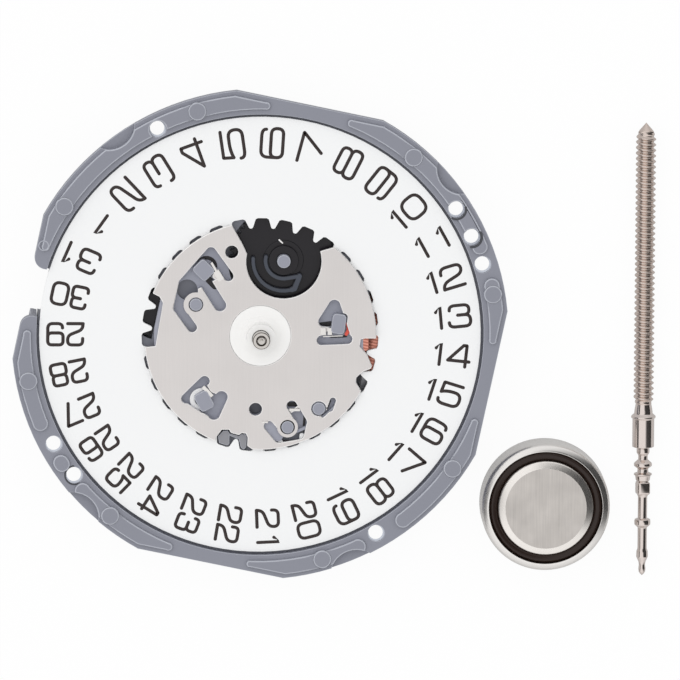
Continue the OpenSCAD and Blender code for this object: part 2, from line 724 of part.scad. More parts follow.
module setting_wheel() {
    color([0.5, 0.5, 0.52]) dial() at(setting_at) {
        gear(setting_teeth, cannon_module, motion_z + level_gap, 0.2, 0.2 + run, setting_phase);
        tube(0.42, 0.2 + run, motion_z + level_gap + 0.19, date_z + 0.1);
    }
}

module minute_wheel() {
    color([0.86, 0.84, 0.8]) dial() at(minute_at) {
        gear(minute_teeth, cannon_module, motion_z + level_gap, 0.2, 0.15 + run, minute_phase);
        gear(minute_pinion_teeth, minute_pinion_module, motion_z + level_gap + 0.19, 0.5, 0.15 + run,
             minute_pinion_phase);
    }
}

module hour_wheel() {
    color([0.94, 0.93, 0.9]) dial() {
        gear(hour_teeth, hour_module, wheel_z, 0.3, minute_pipe_r + run, hour_phase);
        tube(1, minute_pipe_r + run, wheel_z + 0.3 - eps, island_z);
        tube(hour_disc_r + 0.04, minute_pipe_r + run, island_z - 0.12, island_z - 0.03);
        tube(hour_disc_r, minute_pipe_r + run, island_z - 0.04, guard_top + 0.03);
        tube(1.04, minute_pipe_r + run, guard_top + 0.02, guard_top + 0.08);
        tube(hour_pipe_r, minute_pipe_r + run, guard_top + 0.07, hour_pipe_top);
    }
}

module minute_pipe() {
    low = level4 - 0.03;
    cannon_top = motion_z + level_gap + 0.2;
    cannon_root_r = cannon_module * (cannon_teeth / 2 - 1.1);
    color([0.78, 0.76, 0.72]) dial() difference() {
        union() {
            rod(minute_pipe_r - 0.05, low, level4 + 0.2);
            rod(cannon_root_r, level4 + 0.19, cannon_top);
            gear(cannon_teeth, cannon_module, cannon_top - 0.2, 0.2, 0, 0);
            // slightly thinner body, a long taper and the seat of the minute hand
            rod(minute_pipe_r - run, cannon_top - eps, minute_seat_z - pipe_taper);
            translate([0, 0, minute_seat_z - pipe_taper])
                cylinder(r1 = minute_pipe_r - run, r2 = minute_pipe_r, h = pipe_taper);
            rod(minute_pipe_r, minute_seat_z, minute_pipe_top);
        }
        rod(second_arbor_r + run, low - eps, minute_pipe_top + eps);
        rod(pipe_mouth_r, pipe_mouth_z, minute_pipe_top + eps);
    }
}

module center_wheel() {
    color([0.83, 0.69, 0.4]) dial() difference() {
        union() {
            gear(center_teeth, third_module, level4, 0.14, 0, center_phase);
            rod(0.62, level4 - 0.03, level4 + 0.19);
        }
        rod(minute_pipe_r - 0.05 + run, level4 - 0.1, level4 + 0.3);
        windows(1.9, 0.85, level4, 0.14);
    }
}

// Arbor with a wheel, a pinion and a pivot at each end
module arbor(r, z0, z1, pivot_a, pivot_b) {
    rod(r, z0, z1);
    rod(0.07, pivot_a, z0 + eps);
    rod(0.07, z1 - eps, pivot_b);
}

module second_wheel() {
    color([0.86, 0.86, 0.87]) dial() {
        difference() {
            gear(second_teeth, fifth_module, level2, wheel_t, 0, second_phase);
            windows(1.85, 0.75, level2, wheel_t);
        }
        gear(second_pinion_teeth, second_module, level2 + wheel_t - eps, 0.2, 0, 0);
        rod(second_arbor_r, train_z + 0.02, pipe_mouth_z + 0.05);
        rod(0.07, bridge_z + 0.1, train_z + 0.03);
        translate([0, 0, pipe_mouth_z + 0.05])
            cylinder(r1 = second_arbor_r, r2 = second_arbor_r + 0.03,
                h = second_seat_z - pipe_mouth_z - 0.05);
        rod(second_tip_r, second_seat_z - eps, second_tip_top);
    }
}

module third_wheel() {
    color([0.9, 0.88, 0.82]) dial() at(third_at) {
        difference() {
            gear(third_teeth, second_module, level3, wheel_t, 0, third_phase);
            windows(2, 0.7, level3, wheel_t);
        }
        gear(third_pinion_teeth, third_module, level3 + wheel_t - eps, 0.24, 0, third_pinion_phase);
        arbor(0.12, train_z + 0.02, floor_z - 0.02, bridge_z + 0.1, floor_z + 0.1);
    }
}

module fifth_wheel() {
    color([0.9, 0.88, 0.82]) dial() at(fifth_at) {
        difference() {
            gear(fifth_teeth, rotor_module, level1, wheel_t, 0, fifth_phase);
            windows(1.15, 0.68, level1, wheel_t);
        }
        gear(fifth_pinion_teeth, fifth_module, level1 + wheel_t - eps, 0.2, 0, fifth_pinion_phase);
        arbor(0.12, train_z + 0.02, floor_z - 0.02, bridge_z + 0.1, floor_z + 0.1);
    }
}

module rotor_pinion() {
    color([0.85, 0.85, 0.88]) dial() at(rotor_at) {
        gear(rotor_teeth, rotor_module, level1 - 0.02, 0.18, 0, rotor_phase);
        arbor(rotor_arbor_r, train_z + 0.02, floor_z - 0.02, bridge_z + 0.1, floor_z + 0.1);
        tube(0.3, rotor_arbor_r, level1 + 0.15, magnet_z);
    }
}

module rotor_magnet() {
    color([0.32, 0.32, 0.35]) dial() at(rotor_at) tube(magnet_r, rotor_arbor_r, magnet_z, magnet_z + 0.42);
}

module stator() {
    color([0.72, 0.72, 0.74]) dial() translate([0, 0, stator_top - stator_t])
        linear_extrude(stator_t) stator_outline();
}

module coil_core() {
    color([0.7, 0.7, 0.72]) dial() translate([coil_x - core_w / 2, core_y0, stator_top])
        cube([core_w, core_y1 - core_y0, core_t]);
}

module coil_winding() {
    w = core_w / 2 + 0.02;
    color([0.72, 0.38, 0.26]) dial() translate([coil_x, coil_y0, stator_top + core_t / 2]) difference() {
        rotate([-90, 0, 0]) rotate_extrude() polygon([[0, 0], [coil_r - 0.08, 0], [coil_r, 0.12],
            [coil_r, coil_y1 - coil_y0 - 0.12], [coil_r - 0.08, coil_y1 - coil_y0],
            [0, coil_y1 - coil_y0]]);
        translate([-w, -eps, -core_t / 2]) cube([2 * w, coil_y1 - coil_y0 + 2 * eps, core_t]);
    }
}

// Small board on the core's end, where the wire's ends are soldered
module coil_terminal_board() {
    color([0.2, 0.4, 0.28]) dial() difference() {
        translate([coil_x - 0.7, core_y0 - 0.6, stator_top - stator_t - 0.14]) cube([1.4, 1, 0.14]);
        at([coil_x, core_y0 - 0.3]) rod(0.15, stator_top - stator_t - 0.2, stator_top);
    }
}

module bridge_outline() {
    difference() {
        circle(r = bridge_r);
        translate(cavity_at) circle(r = cavity_r + 0.35);
        translate([coil_x - 1.1, -8]) square([4, 16]);
        translate([works_box[0][0], works_box[0][1] - 0.1])
            square([works_box[1][0] - works_box[0][0] + 1.5, 7]);
    }
}

module train_bridge() {
    color([0.8, 0.78, 0.72]) dial() difference() {
        translate([0, 0, bridge_z]) linear_extrude(bridge_t) bridge_outline();
        for (p = [[0, 0], third_at, fifth_at, rotor_at]) at(p) rod(0.09, bridge_z - eps, train_z + eps);
        for (p = screw_at) at(p) rod(screw_r + 0.03, bridge_z - eps, train_z + eps);
        // shallow rings pressed round the pivots
        for (p = [[0, 0], third_at, fifth_at]) at(p) tube(0.7, 0.45, bridge_z - eps, bridge_z + 0.06);
    }
}

module board_outline() {
    difference() {
        circle(r = board_r);
        translate(cavity_at) circle(r = cavity_r + 1);
        translate([-12, -12]) square([12 - 4.4, 14.5]);
        for (p = screw_at) translate(p) circle(r = screw_head_r + 0.08);
    }
}

module circuit_board() {
    color([0.16, 0.34, 0.26]) dial() translate([0, 0, board_z]) linear_extrude(board_t) board_outline();
}

module ic_chip() {
    color([0.09, 0.09, 0.1]) dial() at(chip_at, bridge_z) translate([-chip_w / 2, -chip_w / 2, 0])
        cube([chip_w, chip_w, chip_t]);
}

module quartz_crystal() {
    color([0.8, 0.8, 0.82]) dial() at(crystal_at, bridge_z + crystal_r) rotate(crystal_dir) {
        translate([-crystal_len / 2, 0, 0]) rotate([0, 90, 0])
            cylinder(r = crystal_r, h = crystal_len - 0.4);
        translate([crystal_len / 2 - 0.41, 0, 0]) rotate([0, 90, 0])
            cylinder(r = crystal_r - 0.1, h = 0.41);
    }
}

module back_cover() {
    color([0.8, 0.8, 0.8]) dial() linear_extrude(cover_t) difference() {
        circle(r = cover_r);
        translate(cavity_at) circle(r = cavity_r + 0.1);
        translate([cavity_at[0] - clamp_gap_w / 2, -ring_r]) square([clamp_gap_w, clamp_gap_w + 1]);
        translate(chip_at) round_square([chip_w + 1, chip_w + 0.6], 0.4);
        bar(crystal_at - 1.9 * dir(crystal_dir), crystal_at + 1.9 * dir(crystal_dir), 1.6);
        bar([8.4, -1.5], [8.4, 3], 1.1);
        for (p = screw_at) translate(p) circle(r = screw_head_r + 0.08);
    }
}

module bridge_screws() {
    color([0.82, 0.82, 0.84]) dial() for (p = screw_at) at(p) difference() {
        union() {
            rod(screw_head_r, 0.05, bridge_z);
            rod(screw_r - 0.02, bridge_z - eps, floor_z - 0.1);
        }
        translate([-1, -0.07, 0]) cube([2, 0.14, 0.17]);
    }
}

// Spring plate that holds the battery by its edge and takes the positive lead
module battery_clamp() {
    color([0.84, 0.84, 0.85]) dial() translate([0, 0, board_z]) linear_extrude(board_t) difference() {
        union() {
            intersection() {
                difference() {
                    translate(cavity_at) circle(r = cavity_r + 0.85);
                    translate(cavity_at) circle(r = cavity_r + 0.1);
                }
                circle(r = board_r + 0.2);
            }
            for (a = [35, 145]) bar(cavity_at + (cavity_r + 0.4) * dir(a), cavity_at + 2.5 * dir(a), 0.7);
        }
        translate([cavity_at[0] - clamp_gap_w / 2, -ring_r]) square([clamp_gap_w, clamp_gap_w]);
    }
}

module battery_contact() {
    contact_z = bridge_z + cell_h - 0.37 - contact_t;
    color([0.86, 0.8, 0.6]) dial() difference() {
        union() {
            at(cavity_at, contact_z) translate([-contact_w / 2, -0.6, 0])
                cube([contact_w, contact_len, contact_t]);
            at(cavity_at, contact_z - contact_t) translate([-0.4, -0.6, 0])
                cube([0.8, 0.6, contact_t + eps]);
        }
        at(cavity_at + [0, 2.4]) rod(0.2, bridge_z, seat_z);
    }
}

module setting_lever() {
    tip = [groove_x - lever_pivot[0], 0.55 - lever_pivot[1]];
    color([0.78, 0.78, 0.8]) dial() at(lever_pivot, lever_z) linear_extrude(lever_t) difference() {
        union() {
            circle(r = 0.55);
            bar([0, 0], [tip[0], -1.4], 0.55);
            bar([tip[0], -1.4], tip, 0.3);
            bar([0, 0], [0.9, 0.35], 0.5);
        }
        circle(r = pivot_r + run);
    }
}

module yoke() {
    tip = [clutch_x - yoke_pivot[0], -0.62 - yoke_pivot[1]];
    color([0.74, 0.74, 0.76]) dial() at(yoke_pivot, lever_z) linear_extrude(lever_t) difference() {
        union() {
            circle(r = 0.52);
            bar([0, 0], [tip[0] - 0.1, tip[1] - 0.6], 0.5);
            bar([tip[0] - 0.1, tip[1] - 0.6], tip, 0.24);
            bar([0, 0], [-0.5, 0.9], 0.36);
        }
        circle(r = pivot_r + run);
    }
}

module yoke_spring() {
    color([0.8, 0.8, 0.82]) dial() translate([0, 0, lever_z]) linear_extrude(lever_t) {
        bar([-10.2, -3.15], [-9.6, -3.15], 0.6);
        bar([-9.6, -3.2], [-9.35, -2.1], 0.18);
        bar([-9.35, -2.1], [-8.98, -1.85], 0.18);
    }
}

module clutch_wheel() {
    color([0.76, 0.76, 0.78]) dial() translate([clutch_x, 0, stem_z]) rotate([0, 90, 0]) difference() {
        union() {
            translate([0, 0, -0.4]) cylinder(r = clutch_r, h = 0.26);
            translate([0, 0, -0.15]) cylinder(r = clutch_neck_r, h = 0.36);
            translate([0, 0, 0.2]) cylinder(r = clutch_r, h = clutch_len - 0.62);
            for (i = [0 : 13]) rotate(i * 360 / 14) translate([clutch_r - 0.26, -0.06, 0.4])
                cube([0.24, 0.12, clutch_len - 0.72]);
        }
        translate([0, 0, 0]) cube([square_w + 0.08, square_w + 0.08, 2], center = true);
    }
}

module reset_lever() {
    tip = reset_tip - reset_pivot;
    color([0.78, 0.78, 0.8]) dial() at(reset_pivot, level1) linear_extrude(wheel_t) difference() {
        union() {
            circle(r = 0.42);
            bar([0, 0], tip, 0.22);
            bar(tip, tip + [0.12, 0.14], 0.22);
            bar([0, 0], [-0.2, 0.55], 0.25);
        }
        circle(r = pivot_r * 0.7 + run);
    }
}

module cell() {
    translate([cell_x, cell_y, 0]) children();
}

module battery_can() {
    lip = cell_h - 0.17;
    color([0.8, 0.79, 0.77]) cell() rotate_extrude() polygon([[0, 0], [cell_r - 0.15, 0],
        [cell_r - 0.04, 0.04], [cell_r, 0.15], [cell_r, lip - 0.35], [cell_r - 0.04, lip - 0.2],
        [cell_r - 0.12, lip - 0.08], [cell_r - 0.26, lip], [cell_r - 0.36, lip - 0.03],
        [gasket_r + 0.005, lip - 0.12], [gasket_r, cell_h - cap_depth], [0, cell_h - cap_depth]]);
}

module battery_gasket() {
    base = cell_h - cap_depth;
    color([0.16, 0.13, 0.12]) cell() rotate_extrude() polygon([[cap_r, base], [gasket_r, base],
        [gasket_r, base + 0.3], [gasket_r - 0.12, base + 0.42], [cap_r + 0.1, base + 0.38],
        [cap_r, base + 0.28]]);
}

module battery_cap() {
    base = cell_h - cap_depth;
    color([0.82, 0.8, 0.77]) cell() rotate_extrude() polygon([[0, base], [cap_r, base],
        [cap_r, cell_h - 0.32], [cap_r - 0.05, cell_h - 0.14], [cap_r - 0.15, cell_h - 0.04],
        [cap_r - 0.32, cell_h], [0, cell_h]]);
}

module winding_stem() {
    run_out = thread_len + 0.52;
    inner = run_out + 0.15;
    square_at = inner + neck_len;
    end = square_at + tip_len;
    color([0.78, 0.77, 0.76]) translate([stem_x, stem_y, rim_r]) rotate([90, 0, 0]) {
        rotate_extrude() polygon([[0, 0], [thread_r - 0.06, 0.42], [thread_r - 0.02, 0.48],
            [thread_r - 0.02, thread_len + 0.05], [thread_r - 0.06, thread_len + 0.12],
            [thread_r - 0.03, run_out],
            [rim_r, run_out], [rim_r, inner], [0.58, inner], [0.58, inner + 1.4], [0.5, inner + 1.48],
            [0.26, inner + 1.54], [0.36, inner + 1.78], [0.24, inner + 2.05], [0.3, inner + 2.2],
            [0.49, inner + 2.3], [0.49, inner + 2.56], [0.3, inner + 2.62], [0.3, inner + 2.82],
            [0.49, inner + 2.88], [0.49, inner + 3.1], [pilot_r, inner + 3.15], [pilot_r, square_at],
            [0.23, square_at], [0.23, end - 3.12], [0.42, end - 3.06], [0.44, end - 2.88],
            [0.44, end - 2.62], [0.25, end - 2.5], [0.25, end - 1.35],
            [0.31, end - 1.29], [0.31, end - 0.75], [0.19, end - 0.65],
            [0.19, end - 0.1], [0.1, end], [0, end]]);
        translate([-square_w / 2, -square_w / 2, square_at - eps]) cube([square_w, square_w, 0.75]);
    }
}

main_plate();
casing_ring();
date_ring();
date_guard_plate();
date_jumper();
date_driving_wheel();
date_finger();
date_corrector_wheel();
setting_wheel();
minute_wheel();
hour_wheel();
minute_pipe();
center_wheel();
second_wheel();
third_wheel();
fifth_wheel();
rotor_pinion();
rotor_magnet();
stator();
coil_core();
coil_winding();
coil_terminal_board();
train_bridge();
circuit_board();
ic_chip();
quartz_crystal();
back_cover();
bridge_screws();
battery_clamp();
battery_contact();
setting_lever();
yoke();
yoke_spring();
clutch_wheel();
reset_lever();
battery_can();
battery_cap();
battery_gasket();
winding_stem();
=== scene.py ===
import math

import bmesh
import bpy
import numpy as np
from mathutils import Matrix, Vector


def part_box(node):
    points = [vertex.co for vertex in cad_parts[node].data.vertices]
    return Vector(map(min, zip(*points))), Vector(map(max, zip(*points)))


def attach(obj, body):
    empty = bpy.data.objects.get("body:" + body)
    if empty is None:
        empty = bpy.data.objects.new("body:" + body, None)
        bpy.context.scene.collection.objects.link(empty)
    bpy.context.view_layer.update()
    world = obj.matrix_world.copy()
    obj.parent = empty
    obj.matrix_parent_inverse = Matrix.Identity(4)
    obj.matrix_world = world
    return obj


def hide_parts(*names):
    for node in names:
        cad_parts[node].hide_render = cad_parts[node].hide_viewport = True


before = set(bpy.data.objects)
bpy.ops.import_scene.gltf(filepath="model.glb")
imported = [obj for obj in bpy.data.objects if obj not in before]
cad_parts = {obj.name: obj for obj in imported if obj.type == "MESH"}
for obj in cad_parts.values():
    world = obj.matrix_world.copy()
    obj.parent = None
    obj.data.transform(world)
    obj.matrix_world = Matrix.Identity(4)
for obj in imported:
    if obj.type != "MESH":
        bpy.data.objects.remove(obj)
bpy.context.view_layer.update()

# View

# The movement lies dial side up on a white table and is seen from nearly straight above. The
# camera leans a little towards twelve o'clock and stands far off behind a long lens.
MM = 0.001
LEAN = math.radians(10.6)
LEAN_TOWARDS = math.radians(105)
AIM = Vector((4.17, -0.24, 2.95)) * MM
DISTANCE = 0.5
FIELD = 35.55 * MM
SENSOR = 36
NEAREST, FARTHEST = 0.01, 10


def stand(name, data):
    """Puts a new object with this data into the scene, at the origin."""
    new = bpy.data.objects.new(name, data)
    bpy.context.scene.collection.objects.link(new)
    return new


roll = LEAN_TOWARDS - math.pi / 2
across = Vector((math.cos(roll), math.sin(roll), 0))
uphill = Vector((math.cos(LEAN_TOWARDS), math.sin(LEAN_TOWARDS), 0))
to_camera = uphill * math.sin(LEAN) + Vector((0, 0, math.cos(LEAN)))
tilted = uphill * math.cos(LEAN) - Vector((0, 0, math.sin(LEAN)))
right = across * math.cos(roll) - tilted * math.sin(roll)
up = across * math.sin(roll) + tilted * math.cos(roll)

lens = bpy.data.cameras.new("camera")
lens.sensor_width = SENSOR
lens.lens = SENSOR * DISTANCE / FIELD
lens.clip_start, lens.clip_end = NEAREST, FARTHEST
camera = stand("camera", lens)
camera.matrix_world = Matrix.Translation(AIM + to_camera * DISTANCE) @ Matrix(
    (right, up, to_camera)).transposed().to_4x4()
bpy.context.scene.camera = camera
bpy.context.scene.view_settings.view_transform = "Standard"


# Light and table

# The table is white card and the light is a white tent. Polished metal shows that the tent is
# open at the right, has a narrow gap low at the left, and is a little darker at its foot.
TENT = 0.85
TENT_FOOT, FOOT_SPAN = 0.75, (0.08, 0.62)
OPENING, OPENING_SPAN, OPEN_TOWARDS = 0.05, (0.06, 0.38), math.radians(25)
GAP, GAP_SPAN, GAP_EAST = 0.08, (0.04, 0.12), -0.85
FLANK_SPAN, FLANK_NORTH = (0.38, 0.72), 0.1
LAMP_POWER, LAMP_SIZE, LAMP_PLACE = 1.6, 1.0, (-0.28, 0.34, 0.6)
TABLE, TABLE_TOP = 0.6, -0.02 * MM
CARD, CARD_GLOW = 0.93, 0.94
CARD_IN_METAL, METAL_DIMS_CARD = 0.6, 0.5


class Wire:
    """A value inside a node tree. Python's own signs add Math nodes, so 1 - mask works."""

    def __init__(self, tree, socket):
        self.tree, self.socket = tree, socket

    def math(self, operation, *others, swap=False):
        node = self.tree.nodes.new("ShaderNodeMath")
        node.operation = operation
        values = [self, *others][::-1] if swap else [self, *others]
        for slot, value in zip(node.inputs, values):
            if isinstance(value, Wire):
                self.tree.links.new(value.socket, slot)
            else:
                slot.default_value = value
        return Wire(self.tree, node.outputs[0])

    def __add__(self, other):
        return self.math("ADD", other)

    def __radd__(self, other):
        return self.math("ADD", other)

    def __sub__(self, other):
        return self.math("SUBTRACT", other)

    def __rsub__(self, other):
        return self.math("SUBTRACT", other, swap=True)

    def __mul__(self, other):
        return self.math("MULTIPLY", other)

    def __rmul__(self, other):
        return self.math("MULTIPLY", other)

    def __gt__(self, other):
        return self.math("GREATER_THAN", other)


class Finish:
    """The node tree of a material or a world, and one way to add a node to it."""

    def __init__(self, owner):
        owner.use_nodes = True
        self.owner, self.tree = owner, owner.node_tree

    def add(self, kind, settings=(), sockets=(), out=0):
        """A new node: its type, its settings, then the values or links of its sockets."""
        node = self.tree.nodes.new(kind)
        for name, value in dict(settings).items():
            setattr(node, name, value)
        for name, value in dict(sockets).items():
            self.put(node.inputs[name], value)
        return Wire(self.tree, node.outputs[out])

    def put(self, socket, value):
        """Links a socket or sets it; a colour of three numbers is made opaque."""
        if isinstance(value, Wire):
            self.tree.links.new(value.socket, socket)
        elif isinstance(value, tuple) and len(value) == 3 and len(socket.default_value) == 4:
            socket.default_value = (*value, 1)
        else:
            socket.default_value = value

    def own(self, kind):
        """The node of this type that the tree was made with."""
        return next(node for node in self.tree.nodes if node.type == kind)

    def surface(self, values):
        """Sets sockets of the surface by their names and gives back the material."""
        skin = self.own("BSDF_PRINCIPLED")
        for name, value in values.items():
            self.put(skin.inputs[name], value)
        return self.owner


studio = bpy.data.worlds.new("tent")
bpy.context.scene.world = studio
tent = Finish(studio)
RAY = "ShaderNodeLightPath"
seen = tent.add(RAY, out="Is Camera Ray").math("MAXIMUM", tent.add(RAY, out="Is Transmission Ray"))
mirrored = tent.add(RAY, out="Is Glossy Ray")
towards = tent.add("ShaderNodeTexCoord", out="Generated")
east, north, height = (tent.add("ShaderNodeSeparateXYZ", {}, {0: towards}, axis) for axis in "XYZ")
aside = tent.add("ShaderNodeVectorMath", {"operation": "DOT_PRODUCT"}, {
    0: towards, 1: (math.cos(OPEN_TOWARDS), math.sin(OPEN_TOWARDS), 0.0)}, "Value")


def ramp(value, span, at_low, at_high):
    """A smooth step in the tent's light: at_low below the span, at_high above it."""
    return tent.add("ShaderNodeMapRange", {"interpolation_type": "SMOOTHSTEP"}, {
        "Value": value, "From Min": span[0], "From Max": span[1],
        "To Min": at_low, "To Max": at_high})


slope = ramp(height, FOOT_SPAN, TENT_FOOT, 1.0)
open_right = ramp(aside, OPENING_SPAN, 1.0, OPENING)
open_left = ramp((east - GAP_EAST).math("ABSOLUTE"), GAP_SPAN, GAP, 1.0)
flank = ramp((north - FLANK_NORTH).math("ABSOLUTE"), FLANK_SPAN, 1.0, 0.0)
walls = slope * (1 - (1 - open_right * open_left) * flank)
backdrop = tent.own("BACKGROUND")
tent.put(backdrop.inputs["Strength"],
         seen + (1 - seen) * (mirrored * walls + (1 - mirrored) * TENT))
tent.put(backdrop.inputs["Color"], (1.0, 1.0, 1.0))

lamp = bpy.data.lights.new("soft_lamp", "AREA")
lamp.shape, lamp.size, lamp.energy = "DISK", LAMP_SIZE, LAMP_POWER
lamp_at = stand("soft_lamp", lamp)
lamp_at.location = LAMP_PLACE
lamp_at.rotation_euler = (-lamp_at.location).to_track_quat("-Z", "Y").to_euler()
lamp_at.visible_glossy = False

table_mesh = bpy.data.meshes.new("table")
table_mesh.from_pydata([(x, y, TABLE_TOP) for x, y in (
    (-TABLE, -TABLE), (TABLE, -TABLE), (TABLE, TABLE), (-TABLE, TABLE))], [], [(0, 1, 2, 3)])
table = stand("table", table_mesh)
card = Finish(bpy.data.materials.new("white_card"))
table_mesh.materials.append(card.surface({"Base Color": (CARD, CARD, CARD), "Roughness": 0.9}))
whole = card.add(RAY, out="Is Camera Ray") + card.add(RAY, out="Is Transmission Ray")
in_metal = card.add(RAY, out="Is Glossy Ray")
card.put(card.own("OUTPUT_MATERIAL").inputs["Surface"], card.add("ShaderNodeMixShader", {}, {
    0: (whole * CARD_GLOW + in_metal * CARD_IN_METAL).math("MINIMUM", CARD_GLOW),
    1: Wire(card.tree, card.own("BSDF_PRINCIPLED").outputs[0]),
    2: card.add("ShaderNodeEmission", {}, {"Strength": 1 - in_metal * METAL_DIMS_CARD})}))


# Grey mouldings

# Casing ring, main plate and date jumper are injection moulded in one grey, slightly clear
# plastic. Their edges are a little round, and the fillets on them get a paler grey as painted
# highlight.
GREY = (0.248, 0.256, 0.302)
# Painted highlight: the paler grey of the moulded parts' rounded edges.
EDGE_HIGHLIGHT_GREY = (0.43, 0.445, 0.50)
CLOUDS, GRAINS = 420.0, 26000.0
SHADE = 0.14
# The main plate's grey is this share of the ring's, darkened as painted shade, as its faces lie
# low between other parts.
PLATE_PAINTED_SHADE = 0.70
# Painted light and shade by height: what lies above the first height is made paler, as the plate's
# raised parts catch more light than its low faces; what lies above the second, its highest posts,
# a little darker again.
PLATE_PAINTED_LIGHT = ((2.5 * MM, 0.98), (2.97 * MM, -0.14))
GRAIN_HEIGHT, GRAIN_SHOWS = 0.003 * MM, 0.12
WELD = 1e-7
SAME_FACE, STILL_SMOOTH, SHARP = (math.radians(degrees) for degrees in (0.4, 25, 40))


def between(finish, share, dark, pale):
    """A colour that lies between two others by a share."""
    return finish.add("ShaderNodeMix", {"data_type": "RGBA"}, {0: share, 6: dark, 7: pale}, 2)


def around(colour, spread):
    """A darker and a paler shade, each apart from the colour by the share `spread` of it."""
    return (tuple((1 - spread) * c for c in colour),
            tuple(min(1.0, (1 + spread) * c) for c in colour))


def noise(finish, place, scale, detail):
    """A cloud of values round one half, with `scale` as its patches to a metre."""
    return finish.add("ShaderNodeTexNoise", {}, {"Vector": place, "Scale": scale,
                                                 "Detail": detail})


def moulding(name, colour, roughness=0.42, grain=0.06, shine=0.5, painted_light_levels=()):
    """A moulded plastic: its colour wanders a little and a fine grain roughens it. Each level
    (height, share) changes the colour of what lies above that height by that share of it: painted
    light where the share is above nought, painted shade where it is below."""
    f = Finish(bpy.data.materials.new(name))
    place = f.add("ShaderNodeTexCoord", out="Object")
    cloud, fine = noise(f, place, CLOUDS, 3.0), noise(f, place, GRAINS, 2.0)
    tint = between(f, (cloud - 0.5) * grain * 2 + 0.5, *around(colour, SHADE))
    for level, more in painted_light_levels:
        above = f.add("ShaderNodeSeparateXYZ", {}, {0: place}, "Z") > level
        tint = f.add("ShaderNodeVectorMath", {"operation": "SCALE"}, {
            0: tint, "Scale": above * more + 1})
    return f.surface({
        "Base Color": tint, "Specular IOR Level": shine,
        "Roughness": roughness + (fine - 0.5) * GRAIN_SHOWS,
        "Normal": f.add("ShaderNodeBump", {}, {
            "Height": fine, "Strength": GRAIN_SHOWS, "Distance": GRAIN_HEIGHT})})


def dress(node, material):
    """Gives a solid its material."""
    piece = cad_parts[node]
    piece.data.materials.clear()
    piece.data.materials.append(material)


def rounded(node, name, body, edge, material, trim, low=(-1, 1)):
    """A copy of a node whose triangles are merged into whole faces and whose sharp outer edges
    get a fillet `edge` wide in the material `trim`. Edges that reach below the height low[0]
    get only the share low[1] of that width."""
    mesh = bpy.data.meshes.new(name)
    work = bmesh.new()
    work.from_mesh(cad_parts[node].data)
    bmesh.ops.remove_doubles(work, verts=work.verts, dist=WELD)
    bmesh.ops.dissolve_limit(work, angle_limit=SAME_FACE, verts=work.verts, edges=work.edges)
    outer = work.edges.layers.float.new("bevel_weight_edge")
    for seam in work.edges:
        bend = seam.calc_face_angle_signed(0) if len(seam.link_faces) == 2 else 0
        if bend > SHARP:
            seam[outer] = low[1] if min(v.co.z for v in seam.verts) < low[0] else 1.0
        seam.smooth = seam[outer] > 0 or abs(bend) < STILL_SMOOTH
    work.to_mesh(mesh)
    work.free()
    normals = mesh.attributes.get("custom_normal")
    if normals:
        mesh.attributes.remove(normals)
    mesh.materials.clear()
    mesh.materials.append(material)
    mesh.materials.append(trim)
    mesh.shade_smooth()
    piece = stand(name, mesh)
    fillet = piece.modifiers.new("edges", "BEVEL")
    fillet.width, fillet.segments, fillet.material = edge, 2, 1
    fillet.limit_method, fillet.use_clamp_overlap = "WEIGHT", False
    fillet.harden_normals = True
    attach(piece, body)
    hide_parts(node)


ring_plastic = moulding("grey_moulding", GREY)
painted_edge_highlight = moulding("painted_edge_highlight", EDGE_HIGHLIGHT_GREY, 0.35)
rounded("casing_ring", "casing_ring_moulded", "movement", 0.07 * MM, ring_plastic,
        painted_edge_highlight, low=(3.0 * MM, 0.3))
plate_plastic = moulding("plate_moulding", tuple(PLATE_PAINTED_SHADE * c for c in GREY), 0.38,
                         painted_light_levels=PLATE_PAINTED_LIGHT)
rounded("main_plate", "main_plate_moulded", "movement", 0.045 * MM, plate_plastic,
        painted_edge_highlight, low=(2.96 * MM, 0))
rounded("date_jumper", "date_jumper_moulded", "movement", 0.03 * MM,
        moulding("jumper_moulding", (0.26, 0.262, 0.285), 0.3), painted_edge_highlight)


# Date ring

# A flat white ring, toothed inside, that turns under the dial. It is moulded in a dense white
# plastic and its figures are printed on in a dark brown-black ink.
dress("date_ring", moulding("white_ring", (0.945, 0.96, 0.972), 0.5, 0.012))

INK_DARK, INK_PALE, INK_CLOUDS = (0.018, 0.011, 0.010), (0.036, 0.023, 0.021), 9000.0
INK_W = 0.176 * MM
DATE_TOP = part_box("date_ring")[1].z
INK_TOP = DATE_TOP + 0.004 * MM
OVER_INK = 0.002 * MM
STRIP_SHOULDER, STRIP_DIP, STRIP_ENDS = 0.94, 0.006 * MM, 6
BOW = 1.05
FIGURE_H, FIGURES_R = 1.13 * MM, 10.19 * MM
# The 13 stands nearly at three o'clock, this many degrees above the right-hand side.
ANGLE_OF_13 = 5.33
DAYS = 31
